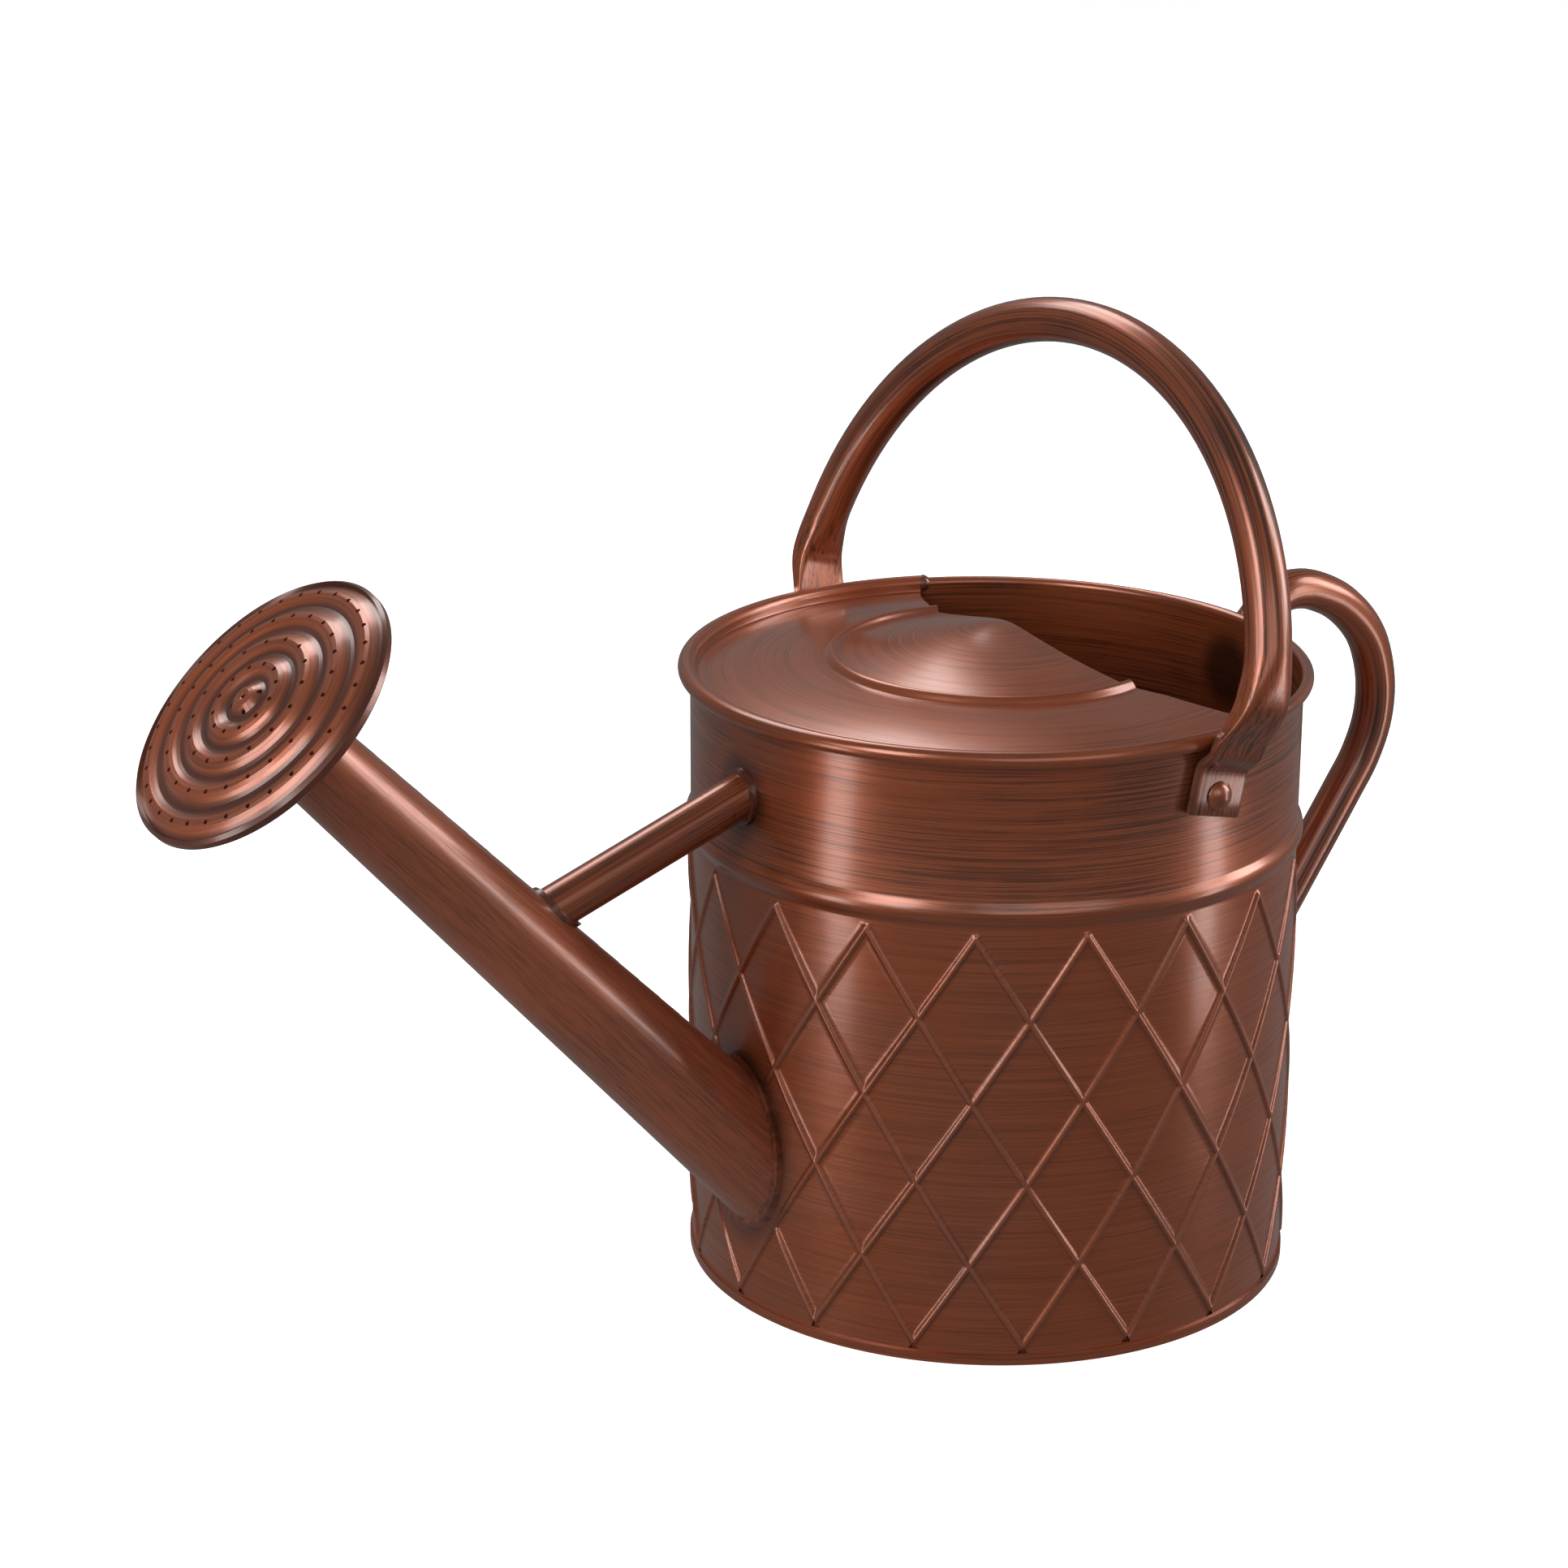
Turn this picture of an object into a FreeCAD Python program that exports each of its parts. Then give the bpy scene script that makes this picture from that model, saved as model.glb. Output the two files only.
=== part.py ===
"""Sheet-metal watering can with a rose, a swinging bail and a rear handle (mm)."""
import FreeCAD
import Part
import math
import os

from FreeCAD import Vector

# ---------------------------------------------------------------- shell
shell_diameter = 175.0
can_height = 180.0
sheet = 0.8
fit_gap = 0.02
# how far a cutting tool runs past what it cuts
cut_margin = 1.0

# rolled rim with its stiffening wire
rim_wire_radius = 1.0
curl_wrap_angle = 345.0
curl_steps = 23

# rounded bead below the plain band
bead_drop = 50.8
bead_height = 8.0
bead_depth = 1.6
bead_fullness = 1.3
bead_steps = 12

# raised diamond lattice on the lower part of the shell
lattice_columns = 18
lattice_rows = 5
lattice_drop = 53.4
lattice_bottom = 5.6
ridge_height = 0.9
ridge_base_width = 3.6
ridge_top_width = 1.6
# how far the ridges reach into the sheet, and where their tools start
ridge_bite = 0.32
ridge_tool_depth = 6.1

# lap seam of the rolled shell, inside at the back
seam_width = 6.0
seam_depth = 0.6
seam_bite = 0.3
seam_foot_gap = 1.0
seam_top_gap = 12.0

# ---------------------------------------------------------------- base
base_sheet = 0.7
base_band_height = 2.7
base_recess = 5.0
base_corner_inset = 2.5
base_corner_drop = 1.2

# ---------------------------------------------------------------- cover
cover_sheet = 0.7
cover_wrap_angle = 42.0
cover_wrap_steps = 15
cover_groove_depth = 4.2
# foot of the cover's outer groove: distance in from the wall, height
cover_groove_shape = ((8.0, 1.6), (2.6, 0.2), (0.9, 0.1), (0.0, 0.9))
cover_ring_radius = 47.0
cover_ring_width = 7.0
cover_ring_rise = 1.5
cover_ring_base = 0.9
cover_ring_fall = 0.5
cover_ring_steps = 8
cover_apex_rise = 9.6
# places down the cone, as shares of the way to the ring
cover_cone_shares = (0.06, 0.13, 0.35, 0.6, 0.8)
cover_apex_blunting = 0.03
cover_cut_radius = 130.0
cover_cut_offset = 4.0
tack_radius = 2.7
tack_setback = 0.3

# ---------------------------------------------------------------- spout
spout_angle = 46.5
spout_root_height = 50.6
spout_root_radius = 16.3
spout_mouth_radius = 11.0
spout_length = 197.0
spout_collar = 1.7
spout_bore_reach = 30.0
# how far solder may stand off the wall
joint_reach = 8.0

# ---------------------------------------------------------------- brace
brace_radius = 6.3
brace_drop = 25.6
brace_slope = 19.0
brace_collar = 1.3
wall_overrun = 6.0

# ---------------------------------------------------------------- rear handle
handle_radius = 6.1
handle_collar = 1.3
handle_rim_gap = 1.2
handle_start_drop = 19.0
handle_end_share = 0.25
# ends of the handle: run inside the wall and beside it, heights from the joint
handle_wall_overrun = 3.0
handle_root_dip = 4.0
handle_exit_run = 3.2
handle_exit_rise = 6.0
handle_foot_dip = 3.0
handle_leg_shares = (0.36, 0.64, 1.0)
# loop of the handle: distance past the rim, height above the rim
handle_loop = (
    (0.0, -4.0),
    (8.0, 2.0),
    (16.5, 2.4),
    (25.5, -0.6),
    (32.5, -4.6),
    (40.5, -12.0),
    (45.3, -19.6),
    (48.6, -32.1),
    (48.0, -44.0),
    (43.6, -55.4),
    (37.2, -64.9),
)

# ---------------------------------------------------------------- bail
bail_radius = 6.4
bail_pivot_offset = 4.0
bail_pivot_drop = 18.4
bail_twist = 2.5
bail_lean = 13.7
bail_rim_gap = 1.0
# shape of the arch, as shares of its half span
bail_rise_share = 1.1598
bail_top_share = 1.0212
bail_shoulder_share = 0.2839
bail_strap_thickness = 2.4
bail_strap_width = 17.6
bail_strap_below = 5.8
bail_strap_above = 9.9
bail_strap_step = 1.1
bail_step_lap = 1.6
strap_end_fullness = 0.98
bail_shell_gap = 0.4
rim_swing_gap = 0.9
# flattened end opening out to the round: height above the step,
# share of the change from flat to round
bail_neck_stations = ((0.9, 0.0), (4.6, 0.14), (10.6, 0.62))
# last flattened section: distance below the shoulder, extra width, flatness
bail_neck_blend = 3.0
bail_neck_widening = 0.15
bail_neck_flatness = 0.98
bail_bore_trim = 1.5

# ---------------------------------------------------------------- pivots
pivot_radius = 2.5
pivot_clearance = 0.05
pivot_side_play = 0.2
pivot_head_radius = 4.2
pivot_head_height = 2.5
pivot_head_root = 0.2
pivot_hole_length = 12.0
washer_radius = 4.6
washer_thickness = 1.0

# ---------------------------------------------------------------- rose
rose_sheet = 0.7
rose_radius = 41.0
rose_face_rise = 4.6
rose_face_steps = 40
# dome of the face: radius where its rise ends, share of it that is straight
rose_dome_radius = 35.7
rose_dome_slope = 0.35
# ripples out to the last crest
rose_ripples = 3.5
rose_fold_gap = 0.3
rose_pitch_share = 0.2056
rose_first_share = 0.2537
rose_inner_share = 0.112
rose_ripple_depth = 0.8
rose_ring_counts = (12, 16, 24, 32)
rose_inner_count = 4
rose_hole_radius = 0.65
rose_setback = 16.3
rose_edge_drop = 1.6
rose_fold_depth = 2.4
rose_fold_width = 3.0
rose_fold_bend = 0.5
rose_back_depth = 8.5
rose_shoulder_run = 1.2
rose_shoulder_rise = 1.0
rose_collar = 3.4
rose_neck_gap = 0.3
rose_neck_length = 17.0
rose_neck_lip = 1.5
rose_solder_size = 1.8
# bulge of the solder bead, as shares of its height and of the sheet
rose_solder_foot = 0.8
rose_solder_waist = 0.45
rose_solder_bulge = 0.9

# ---------------------------------------------------------------- derived
shell_radius = shell_diameter / 2.0
shell_inner = shell_radius - sheet
curl_radius = rim_wire_radius + sheet
cover_wrap_radius = curl_radius + fit_gap + cover_sheet
curl_centre_r = shell_inner + curl_radius
curl_centre_z = can_height - cover_wrap_radius
rim_outer = curl_centre_r + cover_wrap_radius
wall_top = curl_centre_z - curl_radius
bead_bottom = can_height - bead_drop
lattice_top = can_height - lattice_drop
brace_root_height = can_height - brace_drop
handle_start_height = can_height - handle_start_drop
handle_end_height = can_height * handle_end_share
bail_pivot_height = can_height - bail_pivot_drop
bail_half_span = rim_outer + bail_rim_gap + bail_radius
bail_rise = bail_half_span * bail_rise_share
bail_top_radius = bail_half_span * bail_top_share
bail_shoulder = bail_half_span * bail_shoulder_share
rose_ripple_pitch = rose_radius * rose_pitch_share
rose_first_ring = rose_radius * rose_first_share
rose_inner_radius = rose_radius * rose_inner_share
Z_AXIS = Vector(0, 0, 1)
Y_AXIS = Vector(0, 1, 0)
X_AXIS = Vector(1, 0, 0)
ORIGIN = Vector(0, 0, 0)


def ring_from_profile(points):
    """Turn a closed outline of (radius, height) pairs about the Z axis."""
    corners = [Vector(r, 0, z) for r, z in points]
    corners.append(corners[0])
    face = Part.Face(Part.makePolygon(corners))
    return face.revolve(ORIGIN, Z_AXIS, 360)


def arc_points(centre_r, centre_z, radius, start, end, steps):
    """Points on an arc, angles in degrees from the outward direction."""
    points = []
    for i in range(steps + 1):
        angle = math.radians(start + (end - start) * i / steps)
        points.append((centre_r + radius * math.cos(angle), centre_z + radius * math.sin(angle)))
    return points


def offset_line(points, distance):
    """Shift an open line of (r, z) points sideways, mitring the corners."""
    shifted = []
    last = len(points) - 1
    for i, (r, z) in enumerate(points):
        before = points[max(i - 1, 0)]
        after = points[min(i + 1, last)]
        first = Vector(r - before[0], z - before[1], 0)
        second = Vector(after[0] - r, after[1] - z, 0)
        if i == 0:
            first = second
        if i == last:
            second = first
        first.normalize()
        second.normalize()
        normal_1 = Vector(-first.y, first.x, 0)
        normal_2 = Vector(-second.y, second.x, 0)
        mean = normal_1 + normal_2
        mean.normalize()
        stretch = distance / max(mean.dot(normal_1), 0.3)
        shifted.append((r + mean.x * stretch, z + mean.y * stretch))
    return shifted


def turned_sheet(points, thickness):
    """Turn a bent sheet given by its middle line about the Z axis."""
    one_side = offset_line(points, thickness / 2.0)
    other_side = offset_line(points, -thickness / 2.0)
    if points[0][0] == 0.0:
        one_side[0] = (0.0, one_side[0][1])
        other_side[0] = (0.0, other_side[0][1])
    return ring_from_profile(one_side + other_side[::-1])


def tube(radius_out, radius_in, bottom, height):
    """Upright tube about the Z axis."""
    outer = Part.makeCylinder(radius_out, height, Vector(0, 0, bottom), Z_AXIS)
    inner = Part.makeCylinder(radius_in, height, Vector(0, 0, bottom), Z_AXIS)
    return outer.cut(inner)


def single(shape):
    """Unwrap a shape holding one solid."""
    if len(shape.Solids) == 1:
        return shape.Solids[0]
    return shape


def largest(shape):
    """Keep the biggest solid of a cut."""
    return max(shape.Solids, key=lambda s: s.Volume)


def save(shape, node):
    shape.exportStep("parts/" + node + ".step")


# ---------------------------------------------------------------- directions
slant = math.radians(spout_angle)
spout_dir = Vector(-math.cos(slant), 0, math.sin(slant))
spout_root = Vector(-shell_radius, 0, spout_root_height)
spout_taper = (spout_root_radius - spout_mouth_radius) / spout_length
brace_tilt = math.radians(brace_slope)
brace_dir = Vector(-math.cos(brace_tilt), 0, -math.sin(brace_tilt))
brace_root = Vector(-shell_radius, 0, brace_root_height)
root_gap = brace_root_height - spout_root_height
brace_reach = root_gap / (math.sin(brace_tilt) + math.cos(brace_tilt) * math.tan(slant))


def spout_cone(grow, start, end):
    """Solid cone along the spout, its skin moved out by grow."""
    radius_1 = spout_root_radius - spout_taper * start + grow
    radius_2 = spout_root_radius - spout_taper * end + grow
    return Part.makeCone(radius_1, radius_2, end - start, spout_root + spout_dir * start, spout_dir)


# well inside the can, where the spout's cone begins before it is trimmed
spout_start = -0.45 * shell_radius


# ---------------------------------------------------------------- rear handle path
def handle_path():
    """Middle line of the rear handle, from the shell up, round and back to it."""
    clear_of_rim = rim_outer + handle_radius + handle_rim_gap
    inside = shell_inner - handle_wall_overrun
    points = [
        Vector(inside, 0, handle_start_height - handle_root_dip),
        Vector(shell_radius + handle_exit_run, 0, handle_start_height + handle_exit_rise),
    ]
    for out, above in handle_loop:
        points.append(Vector(clear_of_rim + out, 0, can_height + above))
    knee = points[-1]
    end = Vector(inside, 0, handle_end_height - handle_foot_dip)
    for share in handle_leg_shares:
        points.append(knee + (end - knee) * share)
    curve = Part.BSplineCurve()
    curve.interpolate(points)
    return Part.Wire([curve.toShape()])


def swept_rod(path, radius, plane_normal):
    """Round rod along a smooth path lying in one plane."""
    edge = path.Edges[0]
    start = edge.valueAt(edge.FirstParameter)
    direction = edge.tangentAt(edge.FirstParameter)
    circle = Part.Wire([Part.makeCircle(radius, start, direction)])
    sweep = Part.BRepOffsetAPI.MakePipeShell(path)
    sweep.setBiNormalMode(plane_normal)
    sweep.add(circle)
    sweep.build()
    sweep.makeSolid()
    return sweep.shape()


def hollowed(body, bore):
    """Body with the closed bore as a sealed hollow inside it."""
    wall = bore.Shells[0].copy()
    wall.reverse()
    return Part.makeSolid(Part.makeCompound([body.Shells[0], wall]))


# ---------------------------------------------------------------- lattice
def lattice_network():
    """Raised diamond ridges as one network, standing on a band inside the wall."""
    row_height = (lattice_top - lattice_bottom) / lattice_rows
    half_column = math.pi / lattice_columns
    half_width = shell_radius * math.sin(half_column)
    inner = shell_radius - ridge_bite
    outer = shell_radius + ridge_height
    slope_length = math.hypot(half_width, row_height)
    tip = 0.5 * ridge_base_width * slope_length / half_width
    top = lattice_top + tip
    bottom = max(lattice_bottom - tip, base_band_height + fit_gap)
    band = tube(outer, inner, bottom, top - bottom)
    depth_in = shell_radius - ridge_tool_depth
    depth_out = outer + cut_margin

    def inset(depth):
        share = (depth - shell_radius) / ridge_height
        width = ridge_base_width + (ridge_top_width - ridge_base_width) * share
        return 0.5 * width * slope_length / row_height

    def pocket(centre_z, up, down):
        """Radial tool between the ridges; up or down may be open ended."""
        wires = []
        for depth in (depth_in, depth_out):
            scale = depth / shell_radius
            side = half_width * scale - inset(depth)
            tall = row_height * side / (half_width * scale)
            outline = [Vector(depth, side, centre_z)]
            if up:
                outline.append(Vector(depth, 0, centre_z + tall))
            else:
                outline.append(Vector(depth, side, top + cut_margin))
                outline.append(Vector(depth, -side, top + cut_margin))
            outline.append(Vector(depth, -side, centre_z))
            if down:
                outline.append(Vector(depth, 0, centre_z - tall))
            else:
                outline.append(Vector(depth, -side, bottom - cut_margin))
                outline.append(Vector(depth, side, bottom - cut_margin))
            outline.append(outline[0])
            wires.append(Part.makePolygon(outline))
        return Part.makeLoft(wires, True, True)

    tools = []
    for row in range(lattice_rows + 1):
        centre_z = lattice_top - row * row_height
        up = row > 0
        down = row < lattice_rows
        shape = pocket(centre_z, up, down)
        for column in range(lattice_columns):
            turn = 360.0 / lattice_columns * (column + (0.0 if row % 2 == 0 else 0.5))
            tool = shape.copy()
            tool.rotate(ORIGIN, Z_AXIS, turn)
            tools.append(tool)
    return band.cut(tools)


# ---------------------------------------------------------------- can pieces
def make_shell_blank():
    """Wall, bead, lattice and rolled rim, before any hole is made."""
    outer_line = []
    inner_line = []
    for i in range(bead_steps + 1):
        share = i / bead_steps
        z = bead_bottom + bead_height * share
        bulge = bead_depth * math.sin(math.pi * share) ** bead_fullness
        outer_line.append((shell_radius + bulge, z))
        inner_line.append((shell_inner + bulge, z))
    bottom = base_sheet + fit_gap
    outline = [(shell_inner, bottom), (shell_radius, bottom)]
    outline += outer_line
    outline += [(shell_radius, curl_centre_z), (shell_inner, curl_centre_z)]
    outline += inner_line[::-1]
    wall = ring_from_profile(outline)
    curl_line = arc_points(curl_centre_r, curl_centre_z, curl_radius, 0, curl_wrap_angle, curl_steps)
    curl = ring_from_profile(curl_line)
    wall = wall.fuse(curl).fuse(lattice_network())
    seam_foot = base_recess + seam_foot_gap
    seam_height = can_height - seam_top_gap - seam_foot
    seam = Part.makeBox(seam_depth + seam_bite, seam_width, seam_height)
    seam.translate(Vector(shell_inner - seam_depth, -seam_width / 2.0, seam_foot))
    core = tube(shell_inner + seam_bite, shell_inner - 2 * seam_depth, 0, can_height)
    seam = seam.common(core)
    wire_room = Part.makeTorus(curl_centre_r, rim_wire_radius + fit_gap, Vector(0, 0, curl_centre_z))
    shell = wall.fuse(seam).cut(wire_room)
    return shell.removeSplitter()


def make_shell(blank):
    """Shell with the spout bore, the ridges cleared round it and the pivot holes."""
    bare = spout_cone(spout_collar, spout_start, spout_length)
    patch_band = tube(shell_radius + joint_reach, shell_radius, 0, can_height)
    bare = bare.common(patch_band)
    bore = spout_cone(-sheet, spout_start, spout_bore_reach)
    holes = [bare, bore]
    for side in (-1, 1):
        start = Y_AXIS * side * (shell_radius - pivot_hole_length / 2.0)
        hole = Part.makeCylinder(pivot_radius + fit_gap, pivot_hole_length, start, Y_AXIS * side)
        holes.append(place_on_pivots(hole, 0.0))
    top_patch = brace_solid(brace_collar)
    holes.append(top_patch.common(patch_band))
    lower = swept_rod(handle_path(), handle_radius + handle_collar, Y_AXIS)
    holes.append(lower.common(patch_band).common(lower_half()))
    return largest(blank.cut(holes))


def lower_half():
    """Block round the lower half of the can, to pick the lower handle joint."""
    size = 4 * shell_radius
    return Part.makeBox(size, size, can_height / 2.0, Vector(0, -size / 2.0, 0))


def make_rim_wire():
    return Part.makeTorus(curl_centre_r, rim_wire_radius, Vector(0, 0, curl_centre_z))


def make_base_plate():
    inner_leg = shell_inner - fit_gap - base_sheet / 2.0
    outer_leg = shell_radius + fit_gap + base_sheet / 2.0
    line = [
        (0.0, base_recess),
        (inner_leg - base_corner_inset, base_recess),
        (inner_leg, base_recess - base_corner_drop),
        (inner_leg, base_sheet / 2.0),
        (outer_leg, base_sheet / 2.0),
        (outer_leg, base_band_height),
    ]
    return turned_sheet(line, base_sheet)


def cover_line():
    """Middle line of the cover, from the apex out, over the rim and down."""
    middle = cover_sheet / 2.0
    wall_r = shell_inner - fit_gap - middle
    groove_z = can_height - cover_sheet - cover_groove_depth
    ring_z = can_height + cover_ring_base
    points = [(0.0, can_height + cover_apex_rise)]
    blend_r = cover_ring_radius - cover_ring_width / 2.0
    for share in cover_cone_shares:
        drop = (cover_apex_rise - cover_ring_base) * (share - cover_apex_blunting)
        points.append((blend_r * share, can_height + cover_apex_rise - drop))
    for i in range(cover_ring_steps + 1):
        share = i / cover_ring_steps
        r = cover_ring_radius + cover_ring_width * (share - 0.5)
        z = ring_z + cover_ring_rise * math.sin(math.pi * share)
        points.append((r, z - cover_ring_fall * share))
    for inwards, above in cover_groove_shape:
        points.append((wall_r - inwards, groove_z + above))
    wrap = curl_radius + fit_gap + middle
    points += arc_points(curl_centre_r, curl_centre_z, wrap, 180.0, -cover_wrap_angle, cover_wrap_steps)
    return points


def cover_cutter():
    """Upright block behind the cover's hollow rear edge."""
    centre = Vector(cover_cut_offset + cover_cut_radius, 0, 0.5 * can_height)
    return Part.makeCylinder(cover_cut_radius, can_height, centre, Z_AXIS)


def make_front_cover():
    return largest(turned_sheet(cover_line(), cover_sheet).cut(cover_cutter()))


def make_cover_tacks():
    """Solder on the rim just behind both ends of the cover's wrap."""
    # where the cover's rear edge crosses the rim's circle
    centre_x = cover_cut_offset + cover_cut_radius
    x = (curl_centre_r ** 2 - cover_cut_radius ** 2 + centre_x ** 2) / (2.0 * centre_x)
    y = math.sqrt(curl_centre_r ** 2 - x ** 2)
    centre = Vector(centre_x, 0, 0.5 * can_height)
    behind = Part.makeCylinder(cover_cut_radius - fit_gap, can_height, centre, Z_AXIS)
    curl = Part.makeTorus(curl_centre_r, curl_radius + fit_gap, Vector(0, 0, curl_centre_z))
    wall = tube(shell_radius + fit_gap, shell_inner - fit_gap, 0, curl_centre_z)
    tacks = []
    for side in (-1, 1):
        ball = Part.makeSphere(tack_radius, Vector(x + tack_setback, side * y, curl_centre_z))
        tacks.append(largest(ball.common(behind).cut([curl, wall])))
    return Part.makeCompound(tacks)


def filled_can():
    """Everything inside the shell's outer face, as one plain block."""
    return Part.makeCylinder(shell_radius, wall_top)


def make_spout():
    outer = spout_cone(0.0, spout_start, spout_length)
    inner = spout_cone(-sheet, spout_start, spout_length)
    return largest(outer.cut(inner).cut(filled_can()))


def make_spout_collar(shell):
    outer = spout_cone(spout_collar, spout_start, spout_length)
    inner = spout_cone(0.0, spout_start, spout_length)
    band = tube(shell_radius + spout_collar, shell_radius, 0, wall_top)
    corner = Vector(-2 * shell_radius, -shell_radius, 0)
    front = Part.makeBox(2 * shell_radius, 2 * shell_radius, can_height, corner)
    return largest(outer.common(band).common(front).cut(inner).cut(shell))


def brace_solid(grow):
    """Round bar along the brace, its skin moved out by grow."""
    start = brace_root - brace_dir * wall_overrun
    return Part.makeCylinder(brace_radius + grow, brace_reach + wall_overrun, start, brace_dir)


def make_brace():
    body = brace_solid(0.0).cut(brace_solid(-sheet))
    return largest(body.cut([filled_can(), spout_cone(0.0, spout_start, spout_length)]))


def make_brace_collar_body():
    band = tube(shell_radius + brace_collar, shell_radius, 0, wall_top)
    return largest(brace_solid(brace_collar).common(band).cut(brace_solid(0.0)))


def make_brace_collar_spout():
    thick = spout_cone(brace_collar, spout_start, spout_length)
    ring = brace_solid(brace_collar).common(thick).cut(brace_solid(0.0))
    return largest(ring.cut(spout_cone(0.0, spout_start, spout_length)))


def make_rear_handle():
    rod = swept_rod(handle_path(), handle_radius, Y_AXIS)
    bore = swept_rod(handle_path(), handle_radius - sheet, Y_AXIS)
    return largest(rod.cut(bore).cut(filled_can()))


def make_handle_collar(upper):
    band = tube(shell_radius + handle_collar, shell_radius, 0, wall_top)
    ring = swept_rod(handle_path(), handle_radius + handle_collar, Y_AXIS).common(band)
    ring = ring.cut(swept_rod(handle_path(), handle_radius, Y_AXIS))
    if upper:
        ring = ring.cut(lower_half())
    else:
        ring = ring.common(lower_half())
    return largest(ring)


# ---------------------------------------------------------------- bail
def strap_section(x_half, y_half, centre_y, height):
    """Level outline with straight sides and rounded ends."""
    flat = x_half - strap_end_fullness * y_half
    right = Part.Arc(Vector(flat, y_half, 0), Vector(x_half, 0, 0), Vector(flat, -y_half, 0))
    left = Part.Arc(Vector(-flat, -y_half, 0), Vector(-x_half, 0, 0), Vector(-flat, y_half, 0))
    front = Part.makeLine(Vector(-flat, y_half, 0), Vector(flat, y_half, 0))
    back = Part.makeLine(Vector(flat, -y_half, 0), Vector(-flat, -y_half, 0))
    wire = Part.Wire([front, right.toShape(), back, left.toShape()])
    wire.translate(Vector(0, centre_y, height))
    return wire


def bail_middle_y():
    """Distance of the strap's middle plane from the can axis."""
    return shell_radius + bail_shell_gap + bail_strap_thickness / 2.0


def arch_rod(radius, trim):
    """Round bar along the arch: one wide arc between two shoulder arcs."""
    drop = bail_shoulder - (bail_rise - bail_top_radius)
    spread = bail_top_radius - bail_half_span
    bend = (bail_top_radius ** 2 - bail_half_span ** 2 - drop ** 2) / (2.0 * spread)
    bend_y = bail_half_span - bend
    half_turn = math.asin(bend_y / (bail_top_radius - bend))
    top_centre = Vector(0, 0, bail_rise - bail_top_radius)
    end = Vector(0, bail_top_radius * math.sin(half_turn), bail_top_radius * math.cos(half_turn))
    along = Vector(0, -math.cos(half_turn), math.sin(half_turn))
    disc = Part.Face(Part.Wire([Part.makeCircle(radius, top_centre + end, along)]))
    wide = disc.revolve(top_centre, X_AXIS, 2.0 * math.degrees(half_turn))
    shoulder_turn = 90.0 - math.degrees(half_turn) - trim
    bend_centre = Vector(0, bend_y, bail_shoulder)
    shoulder = disc.revolve(bend_centre, X_AXIS, -shoulder_turn)
    return single(wide.fuse([shoulder, shoulder.mirror(ORIGIN, Y_AXIS)]))


def make_bail_end():
    """Flattened end: a strap on the pivot, a step past the rim, then out to the round."""
    half_width = bail_strap_width / 2.0
    half_thick = bail_strap_thickness / 2.0
    inner_y = bail_middle_y()
    outer_y = rim_outer + rim_swing_gap + half_thick
    tall = bail_strap_below + bail_strap_above
    corner = Vector(-half_width, inner_y - half_thick, -bail_strap_below)
    strap = Part.makeBox(bail_strap_width, bail_strap_thickness, tall, corner)
    crease = bail_strap_above
    step_top = crease + bail_strap_step
    outline = [
        Vector(-half_width, inner_y - half_thick, crease),
        Vector(-half_width, inner_y + half_thick, crease),
        Vector(-half_width, outer_y + half_thick, step_top + bail_step_lap),
        Vector(-half_width, outer_y - half_thick, step_top),
    ]
    outline.append(outline[0])
    step = Part.Face(Part.makePolygon(outline)).extrude(Vector(bail_strap_width, 0, 0))
    sections = []
    for above, share in bail_neck_stations:
        width = half_width + (bail_radius - half_width) * share
        thick = half_thick + (bail_radius - half_thick) * share
        y = outer_y + (bail_half_span - outer_y) * share
        sections.append(strap_section(width, thick, y, step_top + above))
    last_width = bail_radius + bail_neck_widening
    last_height = bail_shoulder - bail_neck_blend
    last = strap_section(last_width, bail_radius * bail_neck_flatness, bail_half_span, last_height)
    sections.append(last)
    neck = Part.makeLoft(sections, True, False)
    circle = Part.Wire([Part.makeCircle(bail_radius, Vector(0, bail_half_span, bail_shoulder), Z_AXIS)])
    stub = Part.makeLoft([last, circle], True, True)
    return strap.fuse([step, neck, stub])


def make_bail():
    end = make_bail_end()
    body = arch_rod(bail_radius, 0.0).fuse([end, end.mirror(ORIGIN, Y_AXIS)])
    holes = []
    for side in (-1, 1):
        start = Vector(0, side * (bail_middle_y() - pivot_hole_length / 2.0), 0)
        radius = pivot_radius + pivot_clearance
        holes.append(Part.makeCylinder(radius, pivot_hole_length, start, Y_AXIS * side))
    body = hollowed(largest(body.cut(holes)), arch_rod(bail_radius - sheet, bail_bore_trim))
    return place_on_pivots(body, bail_lean)


def washer_start():
    """Distance of the washer's inner face from the can axis."""
    furthest = abs(bail_pivot_offset) + washer_radius
    return math.sqrt(shell_inner ** 2 - furthest ** 2) - washer_thickness


def make_pivot_rivet(side):
    """Rivet with a domed head outside the strap, its shank through the shell."""
    outer_face = bail_middle_y() + bail_strap_thickness / 2.0 + pivot_side_play
    inside_end = washer_start()
    length = outer_face - inside_end + pivot_head_root
    shank = Part.makeCylinder(pivot_radius, length, Vector(0, 0, inside_end), Z_AXIS)
    sphere_radius = (pivot_head_radius ** 2 + pivot_head_height ** 2) / (2.0 * pivot_head_height)
    ball = Part.makeSphere(sphere_radius, Vector(0, 0, outer_face + pivot_head_height - sphere_radius))
    keep = Part.makeCylinder(2 * sphere_radius, 2 * sphere_radius, Vector(0, 0, outer_face), Z_AXIS)
    rivet = single(shank.fuse(ball.common(keep)).removeSplitter())
    rivet.rotate(ORIGIN, X_AXIS, -90.0 * side)
    return place_on_pivots(rivet, 0.0)


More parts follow.
